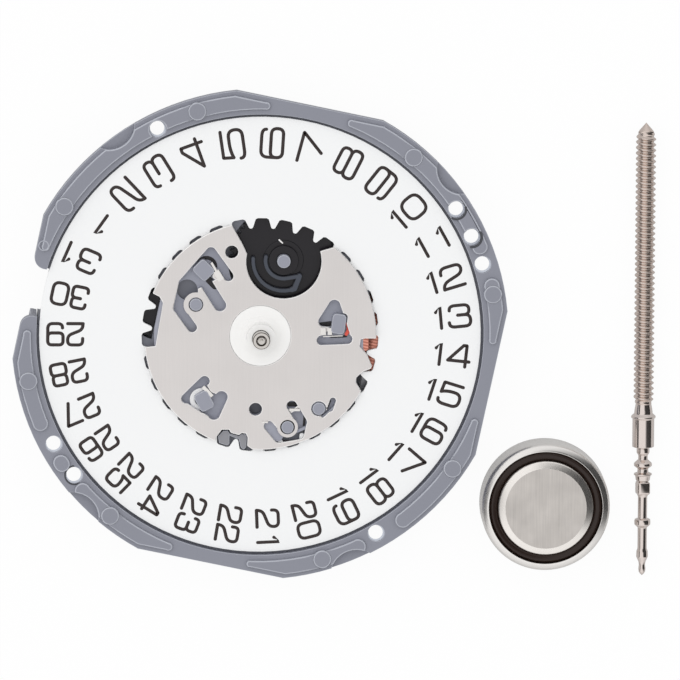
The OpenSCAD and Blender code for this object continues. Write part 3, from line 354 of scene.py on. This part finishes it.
# Each figure is one or more strokes in a box one wide and one high: points, corner rounding,
# and whether the stroke closes on itself.
FIGURES = {
    "0": [([(0, 0), (1, 0), (1, 1), (0, 1)], 0.42, True)],
    "1": [([(-1, 0.76), (0, 1), (0, 0)], 0.02, False)],
    "2": [([(0.02, 0.7), (0.02, 1), (1, 1), (1, 0.56), (0.03, 0.28), (0, 0)], 0.3, False),
          ([(0, 0), (1, 0)], 0, False)],
    "3": [([(0.04, 0.78), (0.04, 1), (0.96, 1), (0.96, 0.54), (0.42, 0.54)], 0.26, False),
          ([(0.42, 0.54), (1, 0.54), (1, 0), (0, 0), (0, 0.22)], 0.27, False)],
    "4": [([(0.83, 0), (0.83, 1), (0.68, 1), (0, 0.25)], 0.02, False),
          ([(0, 0.25), (1, 0.25)], 0, False)],
    "5": [([(0.98, 1), (0.08, 1), (0.05, 0.53)], 0.02, False),
          ([(0.05, 0.53), (0.3, 0.65), (1, 0.65), (1, 0), (0, 0), (0, 0.2)], 0.34, False)],
    "6": [([(0.96, 0.8), (0.96, 1), (0, 1), (0, 0.3)], 0.34, False),
          ([(0, 0), (1, 0), (1, 0.56), (0, 0.56)], 0.28, True)],
    "7": [([(0, 1), (1, 1), (0.44, 0)], 0.02, False)],
    "8": [([(0.05, 0.52), (0.95, 0.52), (0.95, 1), (0.05, 1)], 0.26, True),
          ([(0, 0), (1, 0), (1, 0.52), (0, 0.52)], 0.27, True)],
    "9": [([(0.04, 0.2), (0.04, 0), (1, 0), (1, 0.7)], 0.34, False),
          ([(1, 1), (0, 1), (0, 0.44), (1, 0.44)], 0.28, True)],
}
# Where the figures of a number stand: the left side and the width of each, in mm along the
# ring's radius from the middle of the number. A one has no width but its flag.
FLAG = 0.24
LAYOUTS = {
    "1": [(0.0, FLAG)], "11": [(-0.5, FLAG), (0.74, FLAG)],
    "21": [(-0.86, 0.9), (0.86, FLAG)], "31": [(-0.9, 1.02), (0.84, FLAG)],
    "alone": [(-0.77, 1.53)], "teen": [(-0.7, FLAG), (-0.27, 1.12)],
    "pair": [(-0.93, 0.8), (0.11, 0.8)]}


def line_with_round_corners(corners, cut, closed=False, steps=9):
    """Straight lines between corners, where each corner is replaced by a conic arc that leaves
    and joins the lines `cut` away from it, or half a line away where the line is short. The arc
    is the mean of its start, the corner and its end, weighted (1-t)^2, 2 BOW t(1-t) and t^2."""
    corners = np.asarray(corners, float)
    n = len(corners)
    t = np.linspace(0, 1, steps)[:, None]
    weights = np.hstack([(1 - t) ** 2, 2 * BOW * t * (1 - t), t ** 2])
    weights /= weights.sum(1, keepdims=True)
    runs = []
    for i in range(n):
        if not closed and i in (0, n - 1):
            runs.append(corners[i:i + 1])
            continue
        before, here, after = corners[i - 1], corners[i], corners[(i + 1) % n]
        a, b = before - here, after - here
        la, lb = np.linalg.norm(a), np.linalg.norm(b)
        reach_a = min(cut, la * (0.98 if not closed and i == 1 else 0.5))
        reach_b = min(cut, lb * (0.98 if not closed and i == n - 2 else 0.5))
        runs.append(weights @ np.stack([here + a / la * reach_a, here, here + b / lb * reach_b]))
    line = np.concatenate(runs)
    return np.concatenate([line, line[:1]]) if closed else line


def grid_mesh(name, grids, material, smooth=True, wrap=False, merge=0.0):
    """One mesh from arrays of points in rows and columns. Points next to each other in an array
    share a face; with wrap the last column meets the first."""
    points, faces, start = [], [], 0
    for grid in grids:
        rows, columns = grid.shape[:2]
        index = np.arange(rows * columns).reshape(rows, columns) + start
        if wrap:
            index = np.hstack([index, index[:, :1]])
        faces.append(np.stack([index[:-1, :-1], index[:-1, 1:], index[1:, 1:], index[1:, :-1]],
                              axis=-1).reshape(-1, 4))
        points.append(grid.reshape(-1, 3))
        start += rows * columns
    mesh = bpy.data.meshes.new(name)
    mesh.from_pydata(np.concatenate(points).tolist(), [], np.concatenate(faces).tolist())
    if merge:
        work = bmesh.new()
        work.from_mesh(mesh)
        bmesh.ops.remove_doubles(work, verts=work.verts, dist=merge)
        bmesh.ops.recalc_face_normals(work, faces=work.faces)
        work.to_mesh(mesh)
        work.free()
    mesh.materials.append(material)
    if smooth:
        mesh.shade_smooth()
    return stand(name, mesh)


def strip(line, top, whole_width):
    """A flat strip of even width along a line, with half-round ends, whose two edges dip just
    below its face. At the ends its width follows a circle's half chord: half the width times
    the root of one less the square of the way out, as a share of that half."""
    step = np.linalg.norm(np.diff(line, axis=0), axis=1)
    line = line[np.concatenate([[True], step > WELD])]
    half = whole_width / 2
    if np.linalg.norm(line[0] - line[-1]) < WELD:
        width = np.full(len(line), half)
        tangent = np.gradient(np.vstack([line[-2], line, line[1]]), axis=0)[1:-1]
    else:
        outwards = 1 - np.linspace(0, 1, STRIP_ENDS)[:-1]
        ahead, back = line[1] - line[0], line[-2] - line[-1]
        ahead /= np.linalg.norm(ahead)
        back /= np.linalg.norm(back)
        first = line[0] - ahead * half * outwards[:, None]
        last = (line[-1] - back * half * outwards[:, None])[::-1]
        chord = half * np.sqrt(1 - outwards ** 2)
        width = np.concatenate([chord, np.full(len(line), half), chord[::-1]])
        line = np.concatenate([first, line, last])
        tangent = np.gradient(line, axis=0)
    tangent /= np.linalg.norm(tangent, axis=1, keepdims=True)
    normal = np.stack([-tangent[:, 1], tangent[:, 0]], 1)
    shoulders = np.array([-1, -STRIP_SHOULDER, STRIP_SHOULDER, 1])
    heights = np.array([-STRIP_DIP, 0, 0, -STRIP_DIP]) + top
    flat = line[:, None, :] + normal[:, None, :] * (width[:, None] * shoulders)[..., None]
    return np.concatenate([flat, np.broadcast_to(heights[None, :, None], (*flat.shape[:2], 1))],
                          2)


strokes = []
for day in range(1, DAYS + 1):
    number = str(day)
    kind = number if number in LAYOUTS else (
        "alone" if day < 10 else "teen" if day < 20 else "pair")
    turn = math.radians(ANGLE_OF_13 + (13 - day) * 360 / DAYS)
    outward = np.array([math.cos(turn), math.sin(turn)])
    onward = np.array([-math.sin(turn), math.cos(turn)])
    for figure, (left, wide) in zip(number, LAYOUTS[kind]):
        round_by = min(wide * MM, FIGURE_H) if wide > FLAG else 0
        for order, (corners, cut, closed) in enumerate(FIGURES[figure]):
            line = line_with_round_corners(
                np.array(corners, float) * (wide * MM, FIGURE_H) + (left * MM, -FIGURE_H / 2),
                cut * round_by, closed)
            laid = (FIGURES_R + line[:, :1]) * outward + line[:, 1:] * onward
            strokes.append(strip(laid, INK_TOP + order * OVER_INK, INK_W))
ink = Finish(bpy.data.materials.new("printed_ink"))
ink_cloud = noise(ink, ink.add("ShaderNodeTexCoord", out="Object"), INK_CLOUDS, 2.0)
ink.surface({"Base Color": between(ink, ink_cloud, INK_DARK, INK_PALE), "Roughness": 0.55})
numbers = grid_mesh("date_numbers", strokes, ink.owner)
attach(numbers, "date_ring")


# Guard plate

# A thin sheet of nickel-plated steel, punched and then tumbled to a satin face. Three plastic
# hooks of the main plate hold it down over the date ring's teeth. Its cut edges are rounded in a
# paler metal, as painted highlight.
LINE_HEIGHT = 0.002 * MM
HAIR_SHARE, CLOUD_SHARE = 0.8, 0.8


def sheet_metal(name, colour, roughness=0.36, along=(1.0, 0.02, 1.0), lines=0.05, grain=15000.0,
                metallic=1.0, spread=0.06, patches=350.0):
    """A metal face with fine lines: noise stretched along one axis changes the roughness and
    tips the surface a little; a wide cloud shifts the colour by up to the share `spread`."""
    f = Finish(bpy.data.materials.new(name))
    place = f.add("ShaderNodeTexCoord", out="Object")
    drawn = f.add("ShaderNodeVectorMath", {"operation": "MULTIPLY"}, {0: place, 1: along})
    hair, cloud = noise(f, drawn, grain, 3.0), noise(f, place, patches, 2.0)
    share = 0.5 + (hair - 0.5) * HAIR_SHARE + (cloud - 0.5) * CLOUD_SHARE
    return f.surface({
        "Base Color": between(f, share, *around(colour, spread)), "Metallic": metallic,
        "Roughness": roughness + (hair - 0.5) * 0.14,
        "Normal": f.add("ShaderNodeBump", {}, {
            "Height": hair, "Strength": lines * 2, "Distance": LINE_HEIGHT})})


guard_metal = sheet_metal("satin_nickel", (0.80, 0.765, 0.75), 0.42)
# Painted highlight: a paler metal for the guard's cut edges and for the glint on the driving
# wheel.
metal_edge_highlight = sheet_metal("painted_metal_highlight", (0.95, 0.93, 0.92), 0.35, metallic=0.6)
rounded("date_guard_plate", "guard_plate_punched", "movement", 0.045 * MM, guard_metal,
        metal_edge_highlight)


# Collars, lips and hook holes

# Collars of the sheet stand round two posts, inside the slots, and the sprung tongues have lips
# that are bent and polished. A hole beside each hook, left by the mould's core, shows what lies
# below: black plastic, the coil or the white ring. More black strips on the slot floors are
# painted shadow under the tongues and along the slots' edges. Strips lie just over the faces of
# the solids.
GUARD_UNDER, GUARD_TOP = (corner.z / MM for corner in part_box("date_guard_plate"))
GUARD_FACE = GUARD_TOP + 0.002
SLOT_FLOOR = GUARD_UNDER - 0.244
BELOW_HOOKS = DATE_TOP / MM
JUMPER_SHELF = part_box("date_jumper")[1].z / MM + 0.015
LIP_TOP, LIP_THICK, LIP_EDGE = GUARD_TOP + 0.03, 0.08, 0.015


def arc(x, y, radius, start=0, end=360, steps=48):
    """Points along a circle round (x, y), from one angle to another in degrees."""
    turn = np.radians(np.linspace(start, end, steps))
    return np.stack([x + radius * np.cos(turn), y + radius * np.sin(turn)], 1)


def inlay(name, body, material, bits):
    """Flat strips that lie on a face: each bit is a line, its width and its height, in mm."""
    piece = grid_mesh(name, [strip(np.asarray(line, float) * MM, top * MM, width * MM)
                             for line, width, top in bits], material, smooth=False)
    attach(piece, body)


def blocks(name, material, places, edge, segments):
    """Blocks with rounded edges. Each place is the matrix that makes a cube of side one into a
    block; edges are cut back by `edge` in mm."""
    mesh = bpy.data.meshes.new(name)
    work = bmesh.new()
    for place in places:
        bmesh.ops.create_cube(work, size=1, matrix=place)
    bmesh.ops.bevel(work, geom=work.edges[:], offset=edge * MM, segments=segments, profile=0.5,
                    affect="EDGES")
    work.to_mesh(mesh)
    work.free()
    mesh.materials.append(material)
    piece = stand(name, mesh)
    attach(piece, "movement")
    return mesh


def lip(start, end, width):
    """The place of a bar that lies flat from one point to another, in mm."""
    (x0, y0), (x1, y1) = start, end
    middle = Vector(((x0 + x1) / 2, (y0 + y1) / 2, LIP_TOP - LIP_THICK / 2))
    size = (math.hypot(x1 - x0, y1 - y0) * MM, width * MM, LIP_THICK * MM, 1)
    return (Matrix.Translation(middle * MM)
            @ Matrix.Rotation(math.atan2(y1 - y0, x1 - x0), 4, "Z") @ Matrix.Diagonal(size))


inlay("guard_collars", "movement", guard_metal, [
    (arc(-3.367, 1.667, 0.515), 0.27, GUARD_FACE),
    (arc(1.440, -4.866, 0.465), 0.17, GUARD_FACE)])
inlay("slot_floor", "movement", plate_plastic, [
    ([(-4.29, 1.47), (-3.564, 0.451)], 0.62, SLOT_FLOOR)])
blocks("guard_lips", sheet_metal("bent_lips", (0.84, 0.815, 0.79), 0.3), [
    lip((-2.56, 3.90), (-2.30, 3.43), 0.13),
    lip((-2.33, 3.45), (-2.03, 2.96), 0.34),
    lip((-2.99, -2.68), (-2.50, -3.20), 0.20),
    lip((3.15, 0.22), (3.44, 0.22), 0.38),
    lip((3.52, 0.22), (3.76, 0.22), 0.38),
    lip((3.28, -0.05), (4.33, -0.01), 0.06),
    lip((1.53, -3.93), (2.10, -3.95), 0.14),
    lip((0.10, -4.58), (0.43, -4.60), 0.10)], LIP_EDGE, 2)
inlay("jumper_shelf", "movement", plate_plastic, [
    ([(0.95, -5.40), (0.46, -4.80)], 0.52, JUMPER_SHELF)])
inlay("hook_hole_white", "movement",
      moulding("white_below", (0.93, 0.93, 0.93)), [
          (arc(-3.077, -3.407, 0.47, 85, 258), 0.25, BELOW_HOOKS)])
inlay("hook_hole_red", "movement",
      moulding("red_below", (0.95, 0.11, 0.07), 0.3), [
          (arc(4.134, 0.328, 0.48, -38, 32), 0.18, BELOW_HOOKS)])
# The first arc is the hole beside hook one, showing black plastic; the other black strips are
# painted shadow on the slot floors.
inlay("hook_hole_black_and_painted_shadows", "movement",
      moulding("black_below_and_painted_shadow", (0.012, 0.010, 0.012)), [
          (arc(-2.806, 3.614, 0.465, -8, 150), 0.2, SLOT_FLOOR),
          ([(-2.67, 2.90), (-2.36, 2.58)], 0.36, SLOT_FLOOR),
          ([(3.16, 0.50), (3.71, 0.57)], 0.26, SLOT_FLOOR),
          ([(3.72, -0.13), (4.50, -0.11)], 0.14, SLOT_FLOOR),
          ([(1.56, -3.72), (1.92, -3.72)], 0.26, SLOT_FLOOR),
          ([(2.36, -4.30), (2.30, -5.10)], 0.14, SLOT_FLOOR),
          ([(0.85, -5.69), (2.02, -5.69)], 0.12, SLOT_FLOOR),
          ([(3.66, -3.55), (3.50, -3.95)], 0.16, SLOT_FLOOR)])


# Foot holes and rim

# The dial's feet go into seven round holes in the casing ring. Each has a step in its wall at one
# side, coloured pale as painted light on the lit side of the wall, and a dark arc of painted shade
# runs round three of them. A step of the main plate, in the plate's darkened grey, shows in the
# gap between the casing ring and the date ring, up to the opening for the stem.
HOLES_R = 12.2
HOLE_ANGLES = (116.1, 33.1, 25.2, 17.8, 207.9, 217.2, 300.1)
DIAL_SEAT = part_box("casing_ring")[1].z / MM
PAD_FACE, RING_FACE, STEP_TOP = DIAL_SEAT - 0.046, DIAL_SEAT - 0.214, DIAL_SEAT - 0.27
STEP_ASIDE = (-0.033, 0.056)
RIM_R, RIM_TOP = 11.62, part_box("date_ring")[0].z / MM - 0.03
hole_at = [HOLES_R * np.array([math.cos(a), math.sin(a)]) for a in np.radians(HOLE_ANGLES)]
# The ring of the mark on one pad is drawn in the edges' painted highlight.
inlay("pad_mark", "movement", painted_edge_highlight, [
    (arc(-11.317, 4.851, 0.25), 0.05, PAD_FACE)])
# The steps' pale colour is painted light.
inlay("hole_steps", "movement", moulding("step_painted_light", (0.55, 0.58, 0.65)), [
    (arc(x + STEP_ASIDE[0], y + STEP_ASIDE[1], 0.435, -185, 90, 36), 0.12, STEP_TOP)
    for x, y in hole_at])
# These dark arcs are painted shade round three of the holes.
inlay("hole_painted_shade_arcs", "movement", moulding("hole_painted_shade", (0.05, 0.052, 0.062)), [
    (arc(*hole_at[1], 0.50, -115, 15, 24), 0.12, PAD_FACE),
    (arc(*hole_at[2], 0.51, -95, 30, 24), 0.14, PAD_FACE),
    (arc(*hole_at[5], 0.49, 95, 300, 30), 0.09, RING_FACE)])
inlay("rim_steps", "movement", plate_plastic, [
    (arc(0, 0, RIM_R, 178, 518, 360), 0.3, RIM_TOP)])


# Black wheels

# The wheel that drives the date, its sprung finger and the corrector wheel are moulded in a glossy
# black plastic. The finger's faces are painted a paler blue-grey as its sheen, and its rounded
# edges darker as painted shade. One edge of the finger's slot catches the light.
black_plastic = moulding("black_moulding", (0.012, 0.0105, 0.0135), 0.22, 0.2, 0.3)
rounded("date_driving_wheel", "date_driving_wheel_moulded", "date_driving_wheel", 0.03 * MM,
        black_plastic,
        moulding("black_edge", (0.014, 0.014, 0.017), 0.2, 0.2, 0.3))
rounded("date_finger", "date_finger_moulded", "date_driving_wheel", 0.04 * MM,
        # Painted sheen on the finger's faces, painted shade on its edges.
        moulding("finger_painted_sheen", (0.046, 0.054, 0.074), 0.38, 0.5),
        moulding("finger_edge_painted_shade", (0.022, 0.024, 0.032), 0.3, 0.2))
dress("date_corrector_wheel", black_plastic)
UNDER_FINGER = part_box("date_finger")[0].z / MM + 0.006
inlay("wheel_glint", "date_driving_wheel", metal_edge_highlight, [
    ([(0.99, 5.00), (1.16, 4.835)], 0.075, UNDER_FINGER)])


# Hour wheel and hand pipes

# The hour wheel with its pipe is white plastic, with a low rim at its edge. The minute pipe is
# turned steel, its rounded edges painted dark as shade, and the tip of the second wheel's arbor
# stands in it.
white_wheel = moulding("white_wheel", (0.95, 0.935, 0.905), 0.36, 0.02)
dress("hour_wheel", white_wheel)
inlay("hour_wheel_rim", "hour_wheel", white_wheel, [
    (arc(0, 0, 1.575, steps=97), 0.044, GUARD_TOP - 0.005)])
turned_steel = sheet_metal("turned_steel", (0.62, 0.59, 0.56), 0.2, (1.0, 1.0, 0.02), 0.02)
for node in ("second_wheel", "rotor_pinion"):
    dress(node, turned_steel)
# The minute pipe's rounded edges get a dark brown as painted shade.
rounded("minute_pipe", "minute_pipe_turned", "minute_pipe", 0.035 * MM, turned_steel,
        sheet_metal("pipe_edge_painted_shade", (0.11, 0.085, 0.07), 0.35))


# Wheels inside

# The wheels that nobody sees are moulded plastic, apart from the center wheel, which is punched
# brass like the bridge that holds them. The rotor's magnet is pressed on its pinion.
wheel_plastic = moulding("wheel_moulding", (0.72, 0.68, 0.60), 0.35)
for node in ("minute_wheel", "setting_wheel", "third_wheel", "fifth_wheel"):
    dress(node, wheel_plastic)
brass = sheet_metal("brass_sheet", (0.72, 0.52, 0.22), 0.3)
for node in ("center_wheel", "train_bridge"):
    dress(node, brass)
dress("rotor_magnet", sheet_metal("magnet", (0.12, 0.12, 0.13), 0.5))


# Coil

# Enamelled copper wire wound on a soft iron core; its ends are soldered to a small board. The
# wire lies in rows across the coil, which bulges a little at its side.
WIRE, WIRE_HEIGHT = 0.16 * MM, 0.006 * MM
COIL_TURN = math.radians(12)
coil = Finish(bpy.data.materials.new("copper_wire"))
along_coil = coil.add("ShaderNodeVectorMath", {"operation": "DOT_PRODUCT"}, {
    0: coil.add("ShaderNodeTexCoord", out="Object"),
    1: (math.sin(COIL_TURN), math.cos(COIL_TURN), 0.0)}, "Value")
wires = (along_coil * (2 * math.pi / WIRE)).math("SINE")
dress("coil_winding", coil.surface({
    "Base Color": between(coil, wires * 0.5 + 0.5, (0.42, 0.135, 0.09), (0.84, 0.36, 0.265)),
    "Metallic": 0.35, "Roughness": 0.35,
    "Normal": coil.add("ShaderNodeBump", {}, {
        "Height": wires, "Strength": 0.5, "Distance": WIRE_HEIGHT})}))
inlay("coil_bulge", "movement", coil.owner, [
    ([(5.53, -0.25), (5.53, -0.70)], 0.28, GUARD_UNDER + 0.006)])
soft_iron = sheet_metal("soft_iron", (0.40, 0.40, 0.42), 0.4)
for node in ("stator", "coil_core"):
    dress(node, soft_iron)


# Electronics and sheet parts

# A glass-fibre board under green mask, a chip under a drop of black resin, and the tuning fork
# crystal in its drawn steel can. Levers, clamp, cover and screws are plain steel, and the
# battery's contact is gilded.
board_green = moulding("board_green", (0.016, 0.07, 0.04), 0.35, 0.3)
for node in ("circuit_board", "coil_terminal_board"):
    dress(node, board_green)
dress("ic_chip", moulding("chip_resin", (0.012, 0.012, 0.013), 0.55, 0.3))
steel = sheet_metal("steel_sheet", (0.60, 0.59, 0.58), 0.3)
for node in ("quartz_crystal", "battery_clamp", "setting_lever", "yoke", "yoke_spring",
             "clutch_wheel", "reset_lever", "back_cover", "bridge_screws"):
    dress(node, steel)
dress("battery_contact", sheet_metal("contact_sheet", (0.66, 0.56, 0.36), 0.3))


# Battery

# A button cell, minus side up: a drawn steel can rolled in over a dark gasket, and a cap in the
# middle with a brushed face and a polished edge.
cell_low, cell_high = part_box("battery_can")
CELL = ((cell_low + cell_high) / 2).xy
CELL_R = (cell_high.x - cell_low.x) / 2
CELL_LIP = cell_high.z
CELL_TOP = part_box("battery_cap")[1].z
GASKET_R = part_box("battery_gasket")[1].x - CELL.x
CAP_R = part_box("battery_cap")[1].x - CELL.x
CAP_BEND = 0.38 * MM
FACE_R = CAP_R - CAP_BEND
HAIR = 0.001 * MM
SEAT = CELL_LIP - 0.5 * MM
POLE_WELD = 1e-8


def turned(name, profile, material, columns=128):
    """A body of revolution about the cell's upright axis: each profile point (radius, height)
    goes to the centre plus the radius times (cos, sin) of the angle, at its height. Poles close
    where the radius is nought."""
    profile = np.asarray(profile, float)
    angle = np.arange(columns) * 2 * math.pi / columns
    ring = np.stack([np.cos(angle), np.sin(angle)], 1)
    flat = profile[:, 0][:, None, None] * ring + np.array(CELL)
    tall = np.broadcast_to(profile[:, 1][:, None, None], (len(profile), columns, 1))
    return grid_mesh(name, [np.concatenate([flat, tall], 2)], material, wrap=True,
                     merge=POLE_WELD)


def bend(points, cut, steps=6):
    """An open profile with its corners rounded by `cut`, in mm."""
    return line_with_round_corners(points, cut * MM, steps=steps)


can_steel = sheet_metal("drawn_steel", (0.84, 0.815, 0.79), 0.25, (1.0, 1.0, 0.03), 0.004,
                        2500.0, spread=0.03)
cap_steel = sheet_metal("brushed_cap", (0.60, 0.565, 0.535), 0.34, (1.0, 0.04, 1.0), 0.10,
                        12000.0, spread=0.22, patches=900.0)
gasket_black = moulding("gasket", (0.020, 0.010, 0.007), 0.3, 0.2, 0.35)
can = turned("battery_can_drawn", np.concatenate([
    bend([(0, HAIR), (CELL_R - HAIR, HAIR), (CELL_R - HAIR, CELL_LIP - 0.6 * MM)], 0.14),
    bend([(CELL_R - HAIR, CELL_LIP - 0.55 * MM), (CELL_R - HAIR, CELL_LIP - 0.22 * MM),
          (CELL_R - 0.36 * MM, CELL_LIP - HAIR), (GASKET_R, CELL_LIP - 0.02 * MM),
          (GASKET_R, SEAT)], 0.2, 10)]), can_steel)
seal = turned("battery_gasket_moulded", bend([
    (GASKET_R, SEAT), (GASKET_R - 0.01 * MM, CELL_LIP - 0.22 * MM),
    (GASKET_R - 0.14 * MM, CELL_LIP - 0.09 * MM), (CAP_R + 0.12 * MM, CELL_LIP - 0.13 * MM),
    (CAP_R, CELL_LIP - 0.24 * MM), (CAP_R, SEAT)], 0.06), gasket_black)
cap_edge = turned("battery_cap_edge", bend([
    (CAP_R, SEAT), (CAP_R - 0.01 * MM, CELL_TOP - 0.17 * MM),
    (FACE_R + 0.02 * MM, CELL_TOP - 0.01 * MM), (FACE_R, CELL_TOP - HAIR)], 0.08),
    sheet_metal("polished_edge", (0.90, 0.86, 0.82), 0.28, lines=0.01))
cap = turned("battery_cap_brushed", [(share * FACE_R, CELL_TOP - HAIR) for share in (1, 0.5, 0)],
             cap_steel)
for piece, slot in ((can, "battery_steel"), (seal, "gasket_rubber"), (cap, "battery_steel"),
                    (cap_edge, "battery_steel")):
    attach(piece, "movement")
for piece, node in ((can, "battery_can"), (seal, "battery_gasket"), (cap, "battery_cap")):
    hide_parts(node)


# Winding stem

# Turned from nickel-plated steel. The long end is rolled with a fine thread for the crown; the
# other end has the rim, the groove for the lever, the square for the clutch and the pilot.
stem_low, stem_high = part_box("winding_stem")
STEM = np.array([(stem_low.x + stem_high.x) / 2, stem_high.y, (stem_low.z + stem_high.z) / 2])
STEM_END = (stem_high.y - stem_low.y) / MM
INSIDE = 0.002
COLLAR_R = (stem_high.x - stem_low.x) / 2 / MM - INSIDE
TIP_R = 0.004
LATHE_CUT, LAP = 0.035, 0.03
THREAD_R, THREAD_DEPTH, PITCH = 0.53, 0.12, 0.295
THREAD_FROM, THREAD_TO, THREAD_FADE = 0.5, 15.0, 0.3
ROOT_R = THREAD_R - THREAD_DEPTH
SQUARE_AT, SQUARE_L, SQUARE_W = 19.14, 0.72, 0.68
SQUARE_TURN, SQUARE_EDGE = math.radians(13), 0.14
COLUMNS = 48


def stem_skin(along, radius):
    """Points round the stem, from distances along it and radii in mm: at each angle the radius
    times its cosine, minus the distance from the threaded tip, the radius times its sine."""
    angle = np.arange(COLUMNS) * 2 * math.pi / COLUMNS
    radius = np.broadcast_to(radius, (len(along), COLUMNS))
    down = np.broadcast_to(-along[:, None], radius.shape)
    return np.stack([radius * np.cos(angle), down, radius * np.sin(angle)], 2) * MM + STEM


def threaded(per_pitch=14):
    """The rolled thread: along the stem the radius falls from the crest by the depth times a
    rounded saw, which climbs one pitch in each turn, and it fades out at both ends."""
    turn = np.arange(COLUMNS) / COLUMNS
    along = np.arange(THREAD_FROM, THREAD_TO, PITCH / per_pitch)
    saw = np.abs(((along[:, None] / PITCH + turn) % 1) * 2 - 1)
    fade = np.minimum(1, np.minimum(along - THREAD_FROM, THREAD_TO - along) / THREAD_FADE)
    crest = fade[:, None] * np.clip(saw * 1.5 - 0.25, 0, 1)
    return along, THREAD_R - THREAD_DEPTH * (1 - crest)


def lathe(points):
    """Distances and radii of a turned part, with every corner of its outline rounded."""
    outline = line_with_round_corners(points, LATHE_CUT, steps=5)
    return outline[:, 0], outline[:, 1:]


tip_skin = stem_skin(*lathe([(INSIDE, TIP_R), (0.4, ROOT_R - 0.06), (THREAD_FROM, ROOT_R)]))
turned_skin = stem_skin(*lathe([
    (THREAD_TO - LAP, ROOT_R), (15.3, 0.47), (15.5, 0.49), (15.64, COLLAR_R), (15.72, COLLAR_R),
    (15.76, 0.575), (17.28, 0.575), (17.3, 0.30), (17.4, 0.34), (17.6, 0.34), (17.74, 0.25),
    (17.96, 0.25), (18.16, 0.47), (18.3, 0.48), (18.46, 0.28), (18.66, 0.30), (18.72, 0.475),
    (18.79, 0.475), (18.82, 0.41), (19.08, 0.37), (SQUARE_AT, 0.30), (19.84, 0.30),
    (19.96, 0.245), (21.12, 0.245), (21.18, 0.41), (21.3, 0.43), (21.46, 0.42), (21.62, 0.245),
    (22.74, 0.245), (22.9, 0.30), (23.2, 0.31), (23.46, 0.19), (23.62, 0.165), (23.84, 0.19),
    (24.0, 0.17), (24.1, 0.11), (STEM_END - INSIDE, TIP_R)]))
stem_steel = sheet_metal("stem_steel", (0.74, 0.66, 0.62), 0.11, (1.0, 1.0, 1.0), 0.02)
thread_steel = sheet_metal("thread_steel", (0.70, 0.60, 0.545), 0.24, (1.0, 1.0, 1.0), 0.02)
thread = grid_mesh("stem_thread", [np.concatenate([tip_skin, stem_skin(*threaded())])],
                   thread_steel, wrap=True)
stem = grid_mesh("winding_stem_turned", [turned_skin], stem_steel, wrap=True)
for piece in (thread, stem):
    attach(piece, "movement")
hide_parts("winding_stem")
square_at = STEM - np.array([0, SQUARE_AT + SQUARE_L / 2, 0]) * MM
blocks("stem_square", stem_steel, [
    Matrix.Translation(square_at) @ Matrix.Rotation(SQUARE_TURN, 4, "Y")
    @ Matrix.Diagonal((SQUARE_W * MM, SQUARE_L * MM, SQUARE_W * MM, 1))],
    SQUARE_EDGE, 4).shade_smooth()
